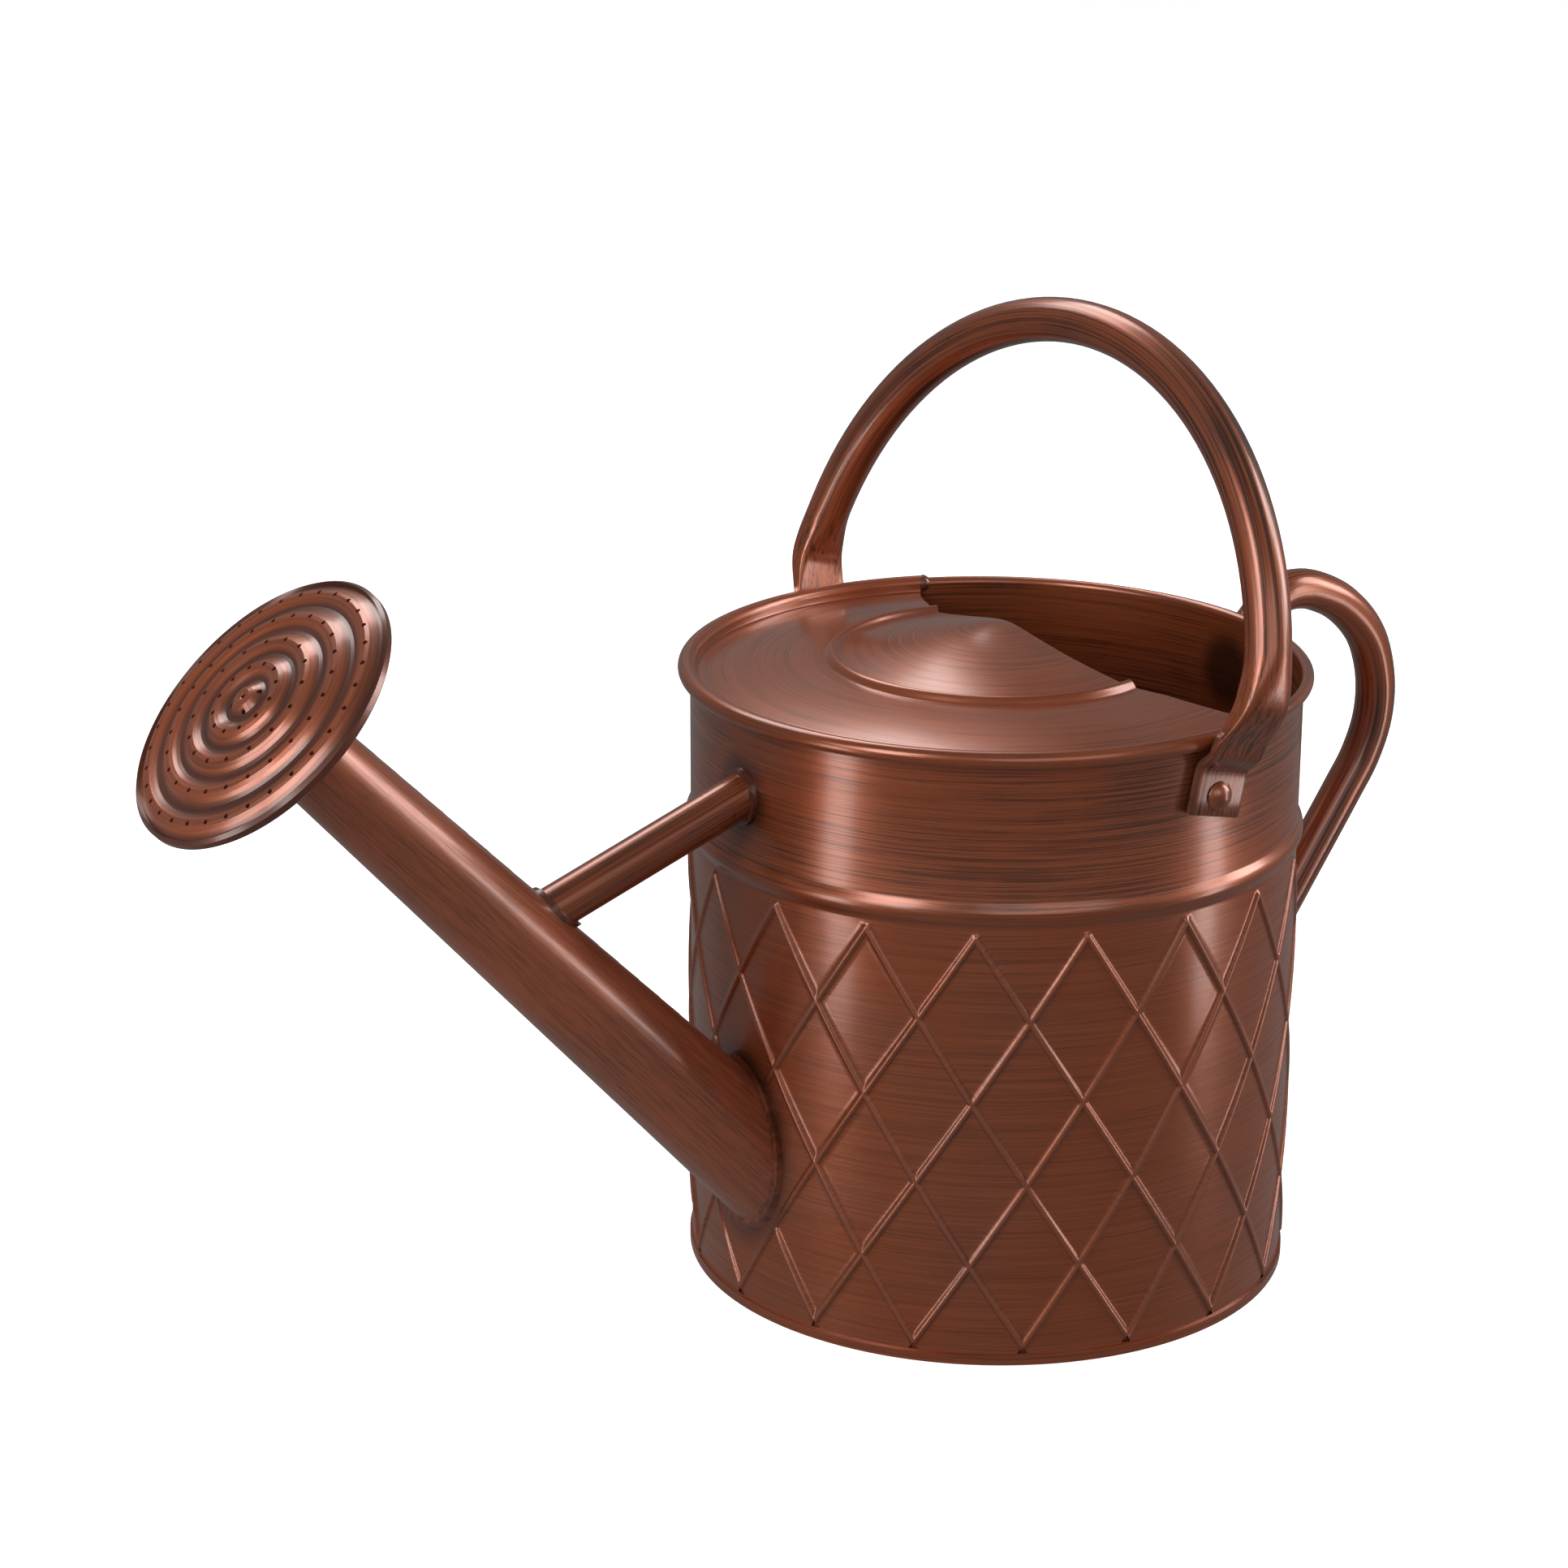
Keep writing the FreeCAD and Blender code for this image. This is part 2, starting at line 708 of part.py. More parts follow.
def make_washer(side):
    """Burr washer inside the shell, seated on its curved wall."""
    start = washer_start()
    length = shell_inner + cut_margin - start
    ring = Part.makeCylinder(washer_radius, length, Vector(0, 0, start), Z_AXIS)
    below = Vector(0, 0, start - cut_margin)
    ring = ring.cut(Part.makeCylinder(pivot_radius + fit_gap, length + 2 * cut_margin, below, Z_AXIS))
    ring.rotate(ORIGIN, X_AXIS, -90.0 * side)
    ring = place_on_pivots(ring, 0.0)
    return largest(ring.common(Part.makeCylinder(shell_inner - fit_gap, can_height)))


# ---------------------------------------------------------------- rose
def rose_face_height(radius):
    """Height of the rippled face above its outermost crest."""
    share = radius / rose_dome_radius
    dome = rose_face_rise * (1.0 - rose_dome_slope * share - (1.0 - rose_dome_slope) * share ** 2)
    wave = math.cos(2.0 * math.pi * (radius - rose_first_ring) / rose_ripple_pitch)
    return dome + rose_ripple_depth * (wave - 1.0)


rose_plane = spout_length + rose_setback
rose_edge = rose_plane - rose_edge_drop
rose_crest_edge = rose_first_ring + rose_ripples * rose_ripple_pitch


def make_rose_face():
    """Rippled, perforated face with its rim folded over the back."""
    middle = rose_sheet / 2.0
    points = []
    for i in range(rose_face_steps + 1):
        r = (rose_crest_edge - rose_fold_gap) * i / rose_face_steps
        points.append((r, rose_plane + rose_face_height(r)))
    fold_r = rose_radius - middle
    fold_z = rose_edge - rose_fold_depth
    points.append((fold_r - rose_fold_bend, rose_edge))
    points.append((fold_r, rose_edge - rose_fold_bend))
    points.append((fold_r, fold_z + rose_fold_bend))
    points.append((fold_r - rose_fold_bend, fold_z))
    points.append((fold_r - rose_fold_width, fold_z))
    face = turned_sheet(points, rose_sheet)
    tools = []
    low = rose_edge - rose_sheet
    tall = rose_edge_drop + rose_face_rise + 2 * rose_sheet + cut_margin
    tools.append(Part.makeCylinder(rose_hole_radius, tall, Vector(0, 0, low), Z_AXIS))
    rings = [(rose_inner_radius, rose_inner_count)]
    for i, count in enumerate(rose_ring_counts):
        rings.append((rose_first_ring + i * rose_ripple_pitch, count))
    for radius, count in rings:
        for i in range(count):
            angle = 2.0 * math.pi * (i + 0.5) / count
            spot = Vector(radius * math.cos(angle), radius * math.sin(angle), low)
            tools.append(Part.makeCylinder(rose_hole_radius, tall, spot, Z_AXIS))
    return largest(face.cut(tools))


def rose_neck_outer():
    """Neck radius, held a running gap inside the spout's mouth."""
    return spout_mouth_radius - sheet - rose_neck_gap


def make_rose_back():
    """Shallow cone from the neck to the folded rim."""
    middle = rose_sheet / 2.0
    edge_top = rose_edge - rose_fold_depth + rose_sheet + fit_gap
    inner_r = rose_neck_outer() + fit_gap + middle
    edge_r = rose_radius - rose_sheet - rose_fold_bend
    points = [
        (inner_r, rose_edge - rose_back_depth - rose_collar),
        (inner_r, rose_edge - rose_back_depth),
        (inner_r + rose_shoulder_run, rose_edge - rose_back_depth + rose_shoulder_rise),
        (edge_r - rose_fold_width, edge_top),
        (edge_r, edge_top),
    ]
    return turned_sheet(points, rose_sheet)


def make_rose_neck():
    outer = rose_neck_outer()
    top = rose_edge - rose_back_depth + rose_neck_lip
    return tube(outer, outer - rose_sheet, top - rose_neck_length, rose_neck_length)


def make_rose_solder():
    """Bead of solder where the back's collar meets the neck."""
    bottom = rose_edge - rose_back_depth - rose_collar
    inner = rose_neck_outer() + fit_gap
    line = [
        (inner, bottom - rose_solder_size * rose_solder_foot),
        (inner + rose_sheet * rose_solder_bulge, bottom - rose_solder_size * rose_solder_waist),
        (inner + rose_sheet, bottom - fit_gap),
        (inner, bottom - fit_gap),
    ]
    return ring_from_profile(line)


def place_on_pivots(shape, lean):
    """Move a shape from the pivot axis at the origin to its place on the can."""
    placed = shape.copy()
    placed.rotate(ORIGIN, Y_AXIS, lean)
    placed.translate(Vector(bail_pivot_offset, 0, bail_pivot_height))
    placed.rotate(ORIGIN, Z_AXIS, bail_twist)
    return placed


def place_on_spout(shape):
    """Move a shape from its own axis to the spout's."""
    placed = shape.copy()
    placed.rotate(ORIGIN, Y_AXIS, spout_angle - 90.0)
    placed.translate(spout_root)
    return placed


# ---------------------------------------------------------------- build
def main():
    os.makedirs("parts", exist_ok=True)
    shell = make_shell(make_shell_blank())
    save(shell, "body_shell")
    save(make_rim_wire(), "rim_wire")
    save(make_base_plate(), "base_plate")
    save(make_front_cover(), "front_cover")
    save(make_cover_tacks(), "cover_tacks")
    save(make_spout(), "spout_tube")
    save(make_spout_collar(shell), "spout_solder")
    save(make_brace(), "brace_tube")
    save(make_brace_collar_body(), "brace_solder_body")
    save(make_brace_collar_spout(), "brace_solder_spout")
    save(make_rear_handle(), "rear_handle")
    save(make_handle_collar(True), "handle_solder_upper")
    save(make_handle_collar(False), "handle_solder_lower")
    save(make_bail(), "bail_tube")
    for side, word in ((-1, "right"), (1, "left")):
        save(make_pivot_rivet(side), "pivot_rivet_" + word)
        save(make_washer(side), "pivot_washer_" + word)
    save(place_on_spout(make_rose_face()), "rose_face")
    save(place_on_spout(make_rose_back()), "rose_back")
    save(place_on_spout(make_rose_neck()), "rose_neck")
    save(place_on_spout(make_rose_solder()), "rose_solder")


main()
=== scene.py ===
"""Antique copper watering can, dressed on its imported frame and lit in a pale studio."""
import logging
import math
from dataclasses import dataclass, field
from enum import Enum
from typing import Any, Dict, List, Optional, Sequence, Tuple

import bmesh
import bpy
from mathutils import Matrix, Vector


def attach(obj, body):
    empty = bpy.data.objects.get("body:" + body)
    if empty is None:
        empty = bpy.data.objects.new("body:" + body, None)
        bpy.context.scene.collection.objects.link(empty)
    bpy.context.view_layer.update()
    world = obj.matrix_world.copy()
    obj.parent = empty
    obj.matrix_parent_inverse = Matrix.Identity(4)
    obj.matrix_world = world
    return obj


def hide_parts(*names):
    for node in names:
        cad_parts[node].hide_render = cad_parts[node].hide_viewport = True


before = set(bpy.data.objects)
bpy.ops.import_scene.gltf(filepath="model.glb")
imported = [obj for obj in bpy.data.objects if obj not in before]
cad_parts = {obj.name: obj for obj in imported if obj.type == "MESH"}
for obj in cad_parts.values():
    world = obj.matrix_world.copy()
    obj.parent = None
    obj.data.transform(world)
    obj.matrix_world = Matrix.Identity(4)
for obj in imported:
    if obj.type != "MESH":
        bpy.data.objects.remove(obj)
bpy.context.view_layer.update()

LOG = logging.getLogger("watering_can")
MM = 0.001
Point = Tuple[float, float, float]
Colour = Tuple[float, float, float]
Number = Any


# ---------------------------------------------------------------- sizes shared by the pieces
@dataclass(frozen=True)
class CanSizes:
    """Driving sizes of the can, in metres."""

    radius: float = 87.5 * MM
    height: float = 180.0 * MM
    sheet: float = 0.8 * MM
    spout_angle: float = math.radians(46.5)
    spout_root: Point = (-87.5 * MM, 0.0, 50.6 * MM)
    spout_radius: float = 16.3 * MM
    spout_taper: float = 5.3 / 197.0
    brace_slope: float = math.radians(19.0)
    band_bottom: float = 137.2 * MM
    pivot_offset: float = 4.0 * MM
    pivot_height: float = 161.6 * MM
    bail_lean: float = math.radians(13.7)
    rose_first_ring: float = 10.4 * MM
    rose_pitch: float = 8.43 * MM
    bail_twist: float = math.radians(2.5)

    @property
    def spout_direction(self) -> Vector:
        """Unit vector from the shell to the rose."""
        return Vector((-math.cos(self.spout_angle), 0.0, math.sin(self.spout_angle)))

    def from_pivots(self, local: Point) -> Vector:
        """Place a point of the bail's own frame on the can.

        Args:
            local: point with its origin midway between the pivots.

        Returns:
            The point in the can's frame.
        """
        leaned = Matrix.Rotation(self.bail_lean, 3, "Y") @ Vector(local)
        leaned += Vector((self.pivot_offset, 0.0, self.pivot_height))
        return Matrix.Rotation(self.bail_twist, 3, "Z") @ leaned


CAN = CanSizes()


# ---------------------------------------------------------------- shader arithmetic
class Signal:
    """A shader value that takes part in ordinary arithmetic."""

    def __init__(self, bench: "Bench", socket: bpy.types.NodeSocket) -> None:
        """Keep the socket and the bench that makes its nodes."""
        self.bench = bench
        self.socket = socket

    def _math(self, operation: str, first: Number, second: Number) -> "Signal":
        """Add one Math node."""
        return self.bench.signal("ShaderNodeMath", {"operation": operation}, {0: first, 1: second})

    def __add__(self, other: Number) -> "Signal":
        """Sum."""
        return self._math("ADD", self, other)

    def __radd__(self, other: Number) -> "Signal":
        """Reflected sum."""
        return self._math("ADD", other, self)

    def __sub__(self, other: Number) -> "Signal":
        """Difference."""
        return self._math("SUBTRACT", self, other)

    def __rsub__(self, other: Number) -> "Signal":
        """Reflected difference."""
        return self._math("SUBTRACT", other, self)

    def __mul__(self, other: Number) -> "Signal":
        """Product."""
        return self._math("MULTIPLY", self, other)

    def __rmul__(self, other: Number) -> "Signal":
        """Reflected product."""
        return self._math("MULTIPLY", other, self)

    def __truediv__(self, other: Number) -> "Signal":
        """Quotient."""
        return self._math("DIVIDE", self, other)

    def power(self, exponent: float) -> "Signal":
        """Raise to a power."""
        return self._math("POWER", self, exponent)

    def smooth(self, low: float, high: float) -> "Signal":
        """Smooth step from 0 at low to 1 at high.

        Args:
            low: value that gives 0.
            high: value that gives 1.

        Returns:
            The stepped value.
        """
        settings = {"interpolation_type": "SMOOTHSTEP"}
        return self.bench.signal("ShaderNodeMapRange", settings, {0: self, 1: low, 2: high, 3: 0.0, 4: 1.0})


class Bench:
    """Makes the nodes of one material."""

    def __init__(self, material: bpy.types.Material) -> None:
        """Clear the material's tree."""
        material.use_nodes = True
        self.tree = material.node_tree
        self.tree.nodes.clear()

    def node(
        self, kind: str, settings: Optional[Dict[str, Any]] = None, values: Optional[Dict[Any, Any]] = None
    ) -> bpy.types.Node:
        """Add a node.

        Args:
            kind: type name of the node.
            settings: attributes, set before the sockets.
            values: numbers, colours or links by socket name or index.

        Returns:
            The new node.
        """
        made = self.tree.nodes.new(kind)
        for name, setting in (settings or {}).items():
            setattr(made, name, setting)
        for key, value in (values or {}).items():
            socket = made.inputs[key]
            if isinstance(value, Signal):
                self.tree.links.new(value.socket, socket)
            elif isinstance(value, bpy.types.NodeSocket):
                self.tree.links.new(value, socket)
            else:
                socket.default_value = value
        return made

    def signal(
        self, kind: str, settings: Optional[Dict[str, Any]], values: Dict[Any, Any], output: Any = 0
    ) -> Signal:
        """Add a node and wrap one of its outputs.

        Args:
            kind: type name of the node.
            settings: attributes, set before the sockets.
            values: numbers, colours or links by socket name or index.
            output: which output is wanted.

        Returns:
            The wrapped output.
        """
        return Signal(self, self.node(kind, settings, values).outputs[output])

    def mix(self, factor: Number, first: Any, second: Any) -> bpy.types.NodeSocket:
        """Blend two colours.

        Args:
            factor: 0 gives the first colour and 1 the second.
            first: colour or socket.
            second: colour or socket.

        Returns:
            The blended colour socket.
        """
        pair = [value if isinstance(value, bpy.types.NodeSocket) else (*value, 1.0) for value in (first, second)]
        made = self.node("ShaderNodeMix", {"data_type": "RGBA"}, {0: factor, 6: pair[0], 7: pair[1]})
        return made.outputs[2]

    def stretched(self, vector: Any, scale: Point) -> bpy.types.NodeSocket:
        """Scale a vector by a different amount along each axis."""
        return self.node("ShaderNodeVectorMath", {"operation": "MULTIPLY"}, {0: vector, 1: scale}).outputs[0]

    def noise(self, vector: Any, scale: float, detail: float = 2.0, rough: float = 0.5) -> Signal:
        """Fractal noise over a vector."""
        values = {"Vector": vector, "Scale": scale, "Detail": detail, "Roughness": rough}
        return self.signal("ShaderNodeTexNoise", {}, values)

    def split(self, vector: Any) -> Tuple[Signal, Signal, Signal]:
        """The three parts of a vector."""
        made = self.node("ShaderNodeSeparateXYZ", {}, {0: vector})
        return tuple(Signal(self, output) for output in made.outputs)

    def join(self, first: Number, second: Number, third: Number) -> bpy.types.NodeSocket:
        """A vector from three parts."""
        return self.node("ShaderNodeCombineXYZ", {}, {0: first, 1: second, 2: third}).outputs[0]


class Grain(Enum):
    """The way the brush went over a piece."""

    AROUND_CAN = "rings about the can's axis"
    ALONG_SPOUT = "lengthwise on the spout"
    ALONG_BRACE = "lengthwise on the brace"
    AROUND_ROSE = "rings about the rose's axis"
    ALONG_RUN = "along the piece's own run attribute"
    DABBED = "no direction"


RUN_ATTRIBUTE = "run"
RELIEF_ATTRIBUTE = "relief"


@dataclass(frozen=True)
class Joint:
    """Place on the wall where another part is soldered."""

    side: float
    height: float
    half_width: float
    half_height: float
    fade: float
    strength: float


@dataclass(frozen=True)
class BrushedCopper:
    """Antique copper paint: warm copper over dark patina, brushed while wet."""

    name: str
    grain: Grain
    light: Colour = (0.34, 0.076, 0.022)
    # Dark patina colour, also used for painted shade in the rose's ripple valleys and at the lattice's ridge feet.
    patina_and_shade: Colour = (0.026, 0.009, 0.006)
    # Paler dusty copper tone, also used for the painted highlight on the lattice's ridge crests.
    dusty_and_highlight: Colour = (0.40, 0.140, 0.080)
    patina: float = 0.72
    roughness: float = 0.34
    metallic: float = 0.5
    fine: float = 0.26 * MM
    long: float = 30.0 * MM
    # relief: stronger patina on the upper band, painted shade at the lattice's ridge feet and a painted highlight on
    # its ridge crests.
    relief: bool = False
    # rings: paint shade into the valleys between the rose's ripples.
    rings: bool = False
    joints: Tuple[Joint, ...] = ()
    bump: float = 0.16
    groove: float = 0.25 * MM
    coat: float = 0.8
    coat_roughness: float = 0.18
    dab: float = 3.0 * MM
    patch_scale: float = 26.0
    speck_scale: float = 420.0
    broad_share: float = 0.34
    wear_shares: Tuple[float, float, float] = (0.5, 0.34, 0.26)
    dark_between: Tuple[float, float] = (0.49, 0.66)
    speck_between: Tuple[float, float] = (0.66, 0.8)
    dusty_between: Tuple[float, float] = (0.35, 0.75)
    bright_between: Tuple[float, float] = (0.5, 0.68)
    band_edge: float = 8.0 * MM

    def _joint_shadow(self, bench: Bench, here: Any, colour: Any) -> Any:
        """Dark patina left by the brush where another part meets the wall.

        Args:
            bench: maker of the nodes.
            here: object coordinates.
            colour: colour without the patina.

        Returns:
            The colour with it.
        """
        if not self.joints:
            return colour
        x, y, z = bench.split(here)
        for joint in self.joints:
            across = y * (1.0 / joint.half_width)
            upright = (z - joint.height) * (1.0 / joint.half_height)
            away = (across * across + upright * upright).power(0.5)
            ring = (1.0 - away.smooth(0.95, joint.fade)) * (x * joint.side).smooth(0.0, 0.02)
            colour = bench.mix(ring * joint.strength, colour, self.patina_and_shade)
        return colour

    def _ripple_valley_shade(self, bench: Bench, here: Any) -> Signal:
        """Mask for the painted shade in the valleys between the rose's ripples.

        Args:
            bench: maker of the nodes.
            here: object coordinates.

        Returns:
            1 in the valleys and 0 on the crests.
        """
        x, y, _ = bench.split(self._from_rose(bench, here))
        radius = (x * x + y * y).power(0.5)
        phase = (radius - CAN.rose_first_ring) * (2.0 * math.pi / CAN.rose_pitch)
        wave = bench.signal("ShaderNodeMath", {"operation": "COSINE"}, {0: phase})
        return (-1.0 * wave).smooth(-0.1, 1.0)

    def _from_rose(self, bench: Bench, here: Any) -> bpy.types.NodeSocket:
        """Turn coordinates so that their third part runs along the rose's axis.

        Args:
            bench: maker of the nodes.
            here: object coordinates.

        Returns:
            The turned coordinates.
        """
        shifted = bench.node("ShaderNodeVectorMath", {"operation": "SUBTRACT"}, {0: here, 1: CAN.spout_root})
        return self._turned(bench, shifted.outputs[0], math.pi / 2.0 - CAN.spout_angle)

    def _turned(self, bench: Bench, vector: Any, angle: float) -> bpy.types.NodeSocket:
        """Turn a vector about the Y axis."""
        values = {"Vector": vector, "Angle": angle}
        return bench.node("ShaderNodeVectorRotate", {"rotation_type": "Y_AXIS"}, values).outputs[0]

    def _grain_vector(self, bench: Bench) -> bpy.types.NodeSocket:
        """Make the vector that the streaks are drawn over, in metres.

        Args:
            bench: maker of the nodes.

        Returns:
            A vector whose first part runs with the brush, or crosses it on a ringed piece.
        """
        here = bench.node("ShaderNodeTexCoord").outputs["Object"]
        if self.grain is Grain.ALONG_RUN:
            return bench.node("ShaderNodeAttribute", {"attribute_name": RUN_ATTRIBUTE}).outputs["Vector"]
        if self.grain is Grain.DABBED:
            return here
        if self.grain is Grain.ALONG_BRACE:
            return self._turned(bench, here, CAN.brace_slope)
        if self.grain is Grain.ALONG_SPOUT:
            return self._turned(bench, here, -CAN.spout_angle)
        if self.grain is Grain.AROUND_ROSE:
            here = self._from_rose(bench, here)
        x, y, z = bench.split(here)
        radius = (x * x + y * y).power(0.5)
        slow = self.fine / self.long
        return bench.join(radius + z, x * slow, y * slow)

    def _streak_scale(self) -> Point:
        """Stretch that turns the grain vector into streaks of the wanted size."""
        if self.grain in (Grain.AROUND_CAN, Grain.AROUND_ROSE, Grain.DABBED):
            return (1.0, 1.0, 1.0)
        return (self.fine / self.long, 1.0, 1.0)

    def material(self) -> bpy.types.Material:
        """Build the material.

        Returns:
            A new material with brushed streaks, patina, painted shade at the lattice's ridge feet and in the rose's
            ripple valleys, a painted highlight on the lattice's ridge crests, roughness and bump.
        """
        made = bpy.data.materials.new(self.name)
        bench = Bench(made)
        here = bench.node("ShaderNodeTexCoord").outputs["Object"]
        grain = bench.stretched(self._grain_vector(bench), self._streak_scale())
        size = self.fine if self.grain is not Grain.DABBED else self.dab
        fine = bench.noise(grain, 1.0 / size, 3.0, 0.6)
        broad = bench.noise(grain, self.broad_share / size, 2.0, 0.55)
        patch = bench.noise(here, self.patch_scale, 3.0, 0.55)
        speck = bench.noise(here, self.speck_scale, 2.0, 0.5)
        worn = fine * self.wear_shares[0] + broad * self.wear_shares[1] + patch * self.wear_shares[2]
        patina = self.patina
        if self.relief:
            in_band = bench.split(here)[2].smooth(CAN.band_bottom - self.band_edge, CAN.band_bottom)
            patina = (in_band + 1.0) * (0.5 * self.patina)
        dark = worn.smooth(*self.dark_between) * patina + speck.smooth(*self.speck_between) * 0.25 * patina
        colour = bench.mix(patch.smooth(*self.dusty_between) * 0.35, self.light, self.dusty_and_highlight)
        colour = bench.mix(dark, colour, self.patina_and_shade)
        bright = (1.0 - worn).smooth(*self.bright_between) * 0.5
        colour = bench.mix(bright, colour, self.dusty_and_highlight)
        colour = self._joint_shadow(bench, here, colour)
        # Painted shade: darkens the valleys between the rose's ripples.
        if self.rings:
            colour = bench.mix(self._ripple_valley_shade(bench, here) * (0.35 + 0.6 * patch), colour, self.patina_and_shade)
        # Painted shade at the feet of the lattice ridges and a painted highlight on their crests, both read from the
        # relief attribute.
        if self.relief:
            height = bench.signal("ShaderNodeAttribute", {"attribute_name": RELIEF_ATTRIBUTE}, {}, "Fac")
            foot = height.smooth(0.02, 0.3) - height.smooth(0.3, 0.75)
            crest = height.smooth(0.7, 1.0)
            colour = bench.mix(foot * (0.2 + 0.3 * patch), colour, self.patina_and_shade)
            colour = bench.mix(crest * (0.1 + 0.5 * broad), colour, self.dusty_and_highlight)
        rough = self.roughness + (fine - 0.5) * 0.22 + (patch - 0.5) * 0.12
        relief = fine * 0.7 + broad * 0.3
        values = {"Strength": self.bump, "Distance": self.groove, "Height": relief}
        bump = bench.node("ShaderNodeBump", {}, values)
        shader = bench.node(
            "ShaderNodeBsdfPrincipled", {},
            {
                "Base Color": colour, "Metallic": self.metallic, "Roughness": rough,
                "Coat Weight": self.coat, "Coat Roughness": self.coat_roughness, "Normal": bump.outputs[0],
            },
        )
        bench.node("ShaderNodeOutputMaterial", {}, {"Surface": shader.outputs[0]})
        return made


@dataclass(frozen=True)
class DullSteel:
    """Bare steel wire, seen only where the rim is open."""

    name: str

    def material(self) -> bpy.types.Material:
        """Build the material."""
        made = bpy.data.materials.new(self.name)
        bench = Bench(made)
        here = bench.node("ShaderNodeTexCoord").outputs["Object"]
        mottle = bench.noise(here, 300.0, 2.0)
        colour = bench.mix(mottle, (0.5, 0.5, 0.51), (0.34, 0.32, 0.31))
        shader = bench.node(
            "ShaderNodeBsdfPrincipled", {},
            {"Base Color": colour, "Metallic": 1.0, "Roughness": 0.3 + mottle * 0.2},
        )
        bench.node("ShaderNodeOutputMaterial", {}, {"Surface": shader.outputs[0]})
        return made


# ---------------------------------------------------------------- modelling helpers
def deselect() -> None:
    """Leave nothing selected or active."""
    if bpy.context.mode != "OBJECT":
        bpy.ops.object.mode_set(mode="OBJECT")
    bpy.ops.object.select_all(action="DESELECT")
    bpy.context.view_layer.objects.active = None


def make_active(piece: bpy.types.Object) -> None:
    """Select one object alone."""
    deselect()
    piece.select_set(True)
    bpy.context.view_layer.objects.active = piece


def finish_mesh(piece: bpy.types.Object, smooth_angle: float = 40.0, outwards: bool = True) -> None:
    """Merge doubles, point the faces out and shade by angle.

    Args:
        piece: mesh object.
        smooth_angle: edges sharper than this many degrees stay sharp.
        outwards: whether to recalculate the normals.
    """
    make_active(piece)
    bpy.ops.object.mode_set(mode="EDIT")
    bpy.ops.mesh.select_all(action="SELECT")
    bpy.ops.mesh.remove_doubles(threshold=0.002 * MM)
    if outwards:
        bpy.ops.mesh.normals_make_consistent(inside=False)
    bpy.ops.object.mode_set(mode="OBJECT")
    bpy.ops.object.shade_smooth_by_angle(angle=math.radians(smooth_angle))


def lathe(name: str, profile: Sequence[Tuple[float, float]], steps: int) -> bpy.types.Object:
    """Spin an open outline about the can's axis.

    Args:
        name: object name.
        profile: (radius, height) points.
        steps: steps of the spin.

    Returns:
        The new object.
    """
    deselect()
    bpy.ops.mesh.primitive_circle_add(vertices=3, radius=profile[0][0], fill_type="NOTHING")
    piece = bpy.context.active_object
    piece.name = name
    bpy.ops.object.mode_set(mode="EDIT")
    bpy.ops.mesh.select_all(action="SELECT")
    bpy.ops.mesh.delete(type="VERT")
    shape = bmesh.from_edit_mesh(piece.data)
    corners = [shape.verts.new((r, 0.0, z)) for r, z in profile]
    for first, second in zip(corners, corners[1:]):
        shape.edges.new((first, second))
    bmesh.update_edit_mesh(piece.data)
    bpy.ops.mesh.select_all(action="SELECT")
    bpy.ops.mesh.spin(steps=steps, angle=2.0 * math.pi, center=(0.0, 0.0, 0.0), axis=(0.0, 0.0, 1.0))
    bpy.ops.mesh.select_all(action="SELECT")
    bpy.ops.mesh.remove_doubles(threshold=0.002 * MM)
    bpy.ops.object.mode_set(mode="OBJECT")
    return piece


@dataclass
class Station:
    """One cross-section of a tube."""

    centre: Vector
    side: Vector
    normal: Vector
    half_side: float
    half_normal: float
    flatness: float = 0.0


def tube_through(name: str, stations: Sequence[Station], around: int, capped: bool) -> bpy.types.Object:
    """Extrude a ring from station to station.

    Args:
        name: object name.
        stations: sections in order.
        around: points round each section.
        capped: whether both ends are closed.

    Returns:
        The new object, with its run attribute filled in.
    """
    deselect()
    bpy.ops.mesh.primitive_circle_add(vertices=around, radius=1.0, fill_type="NGON" if capped else "NOTHING")
    piece = bpy.context.active_object
    piece.name = name
    bpy.ops.object.mode_set(mode="EDIT")
    bpy.ops.mesh.select_all(action="SELECT")
    for _ in stations[1:]:
        bpy.ops.mesh.extrude_region_move(TRANSFORM_OT_translate={"value": (0.0, 0.0, 1.0)})
    bpy.ops.object.mode_set(mode="OBJECT")
    run = piece.data.attributes.new(RUN_ATTRIBUTE, "FLOAT_VECTOR", "POINT")
    lengths = [0.0]
    for before, after in zip(stations, stations[1:]):
        lengths.append(lengths[-1] + (after.centre - before.centre).length)
    for vertex in piece.data.vertices:
        index = min(max(int(round(vertex.co.z)), 0), len(stations) - 1)
        station = stations[index]
        angle = math.atan2(vertex.co.y, vertex.co.x)
        power = 2.0 / (2.0 + 8.0 * station.flatness)
        across = math.copysign(abs(math.cos(angle)) ** power, math.cos(angle))
        through = math.copysign(abs(math.sin(angle)) ** power, math.sin(angle))
        if abs(math.sin(angle)) < 0.01:
            across -= math.copysign(0.09 * station.flatness, across)
        offset = station.side * across * station.half_side + station.normal * through * station.half_normal
        vertex.co = station.centre + offset
        run.data[vertex.index].vector = (lengths[index], across * station.half_side, through * station.half_normal)
    return piece


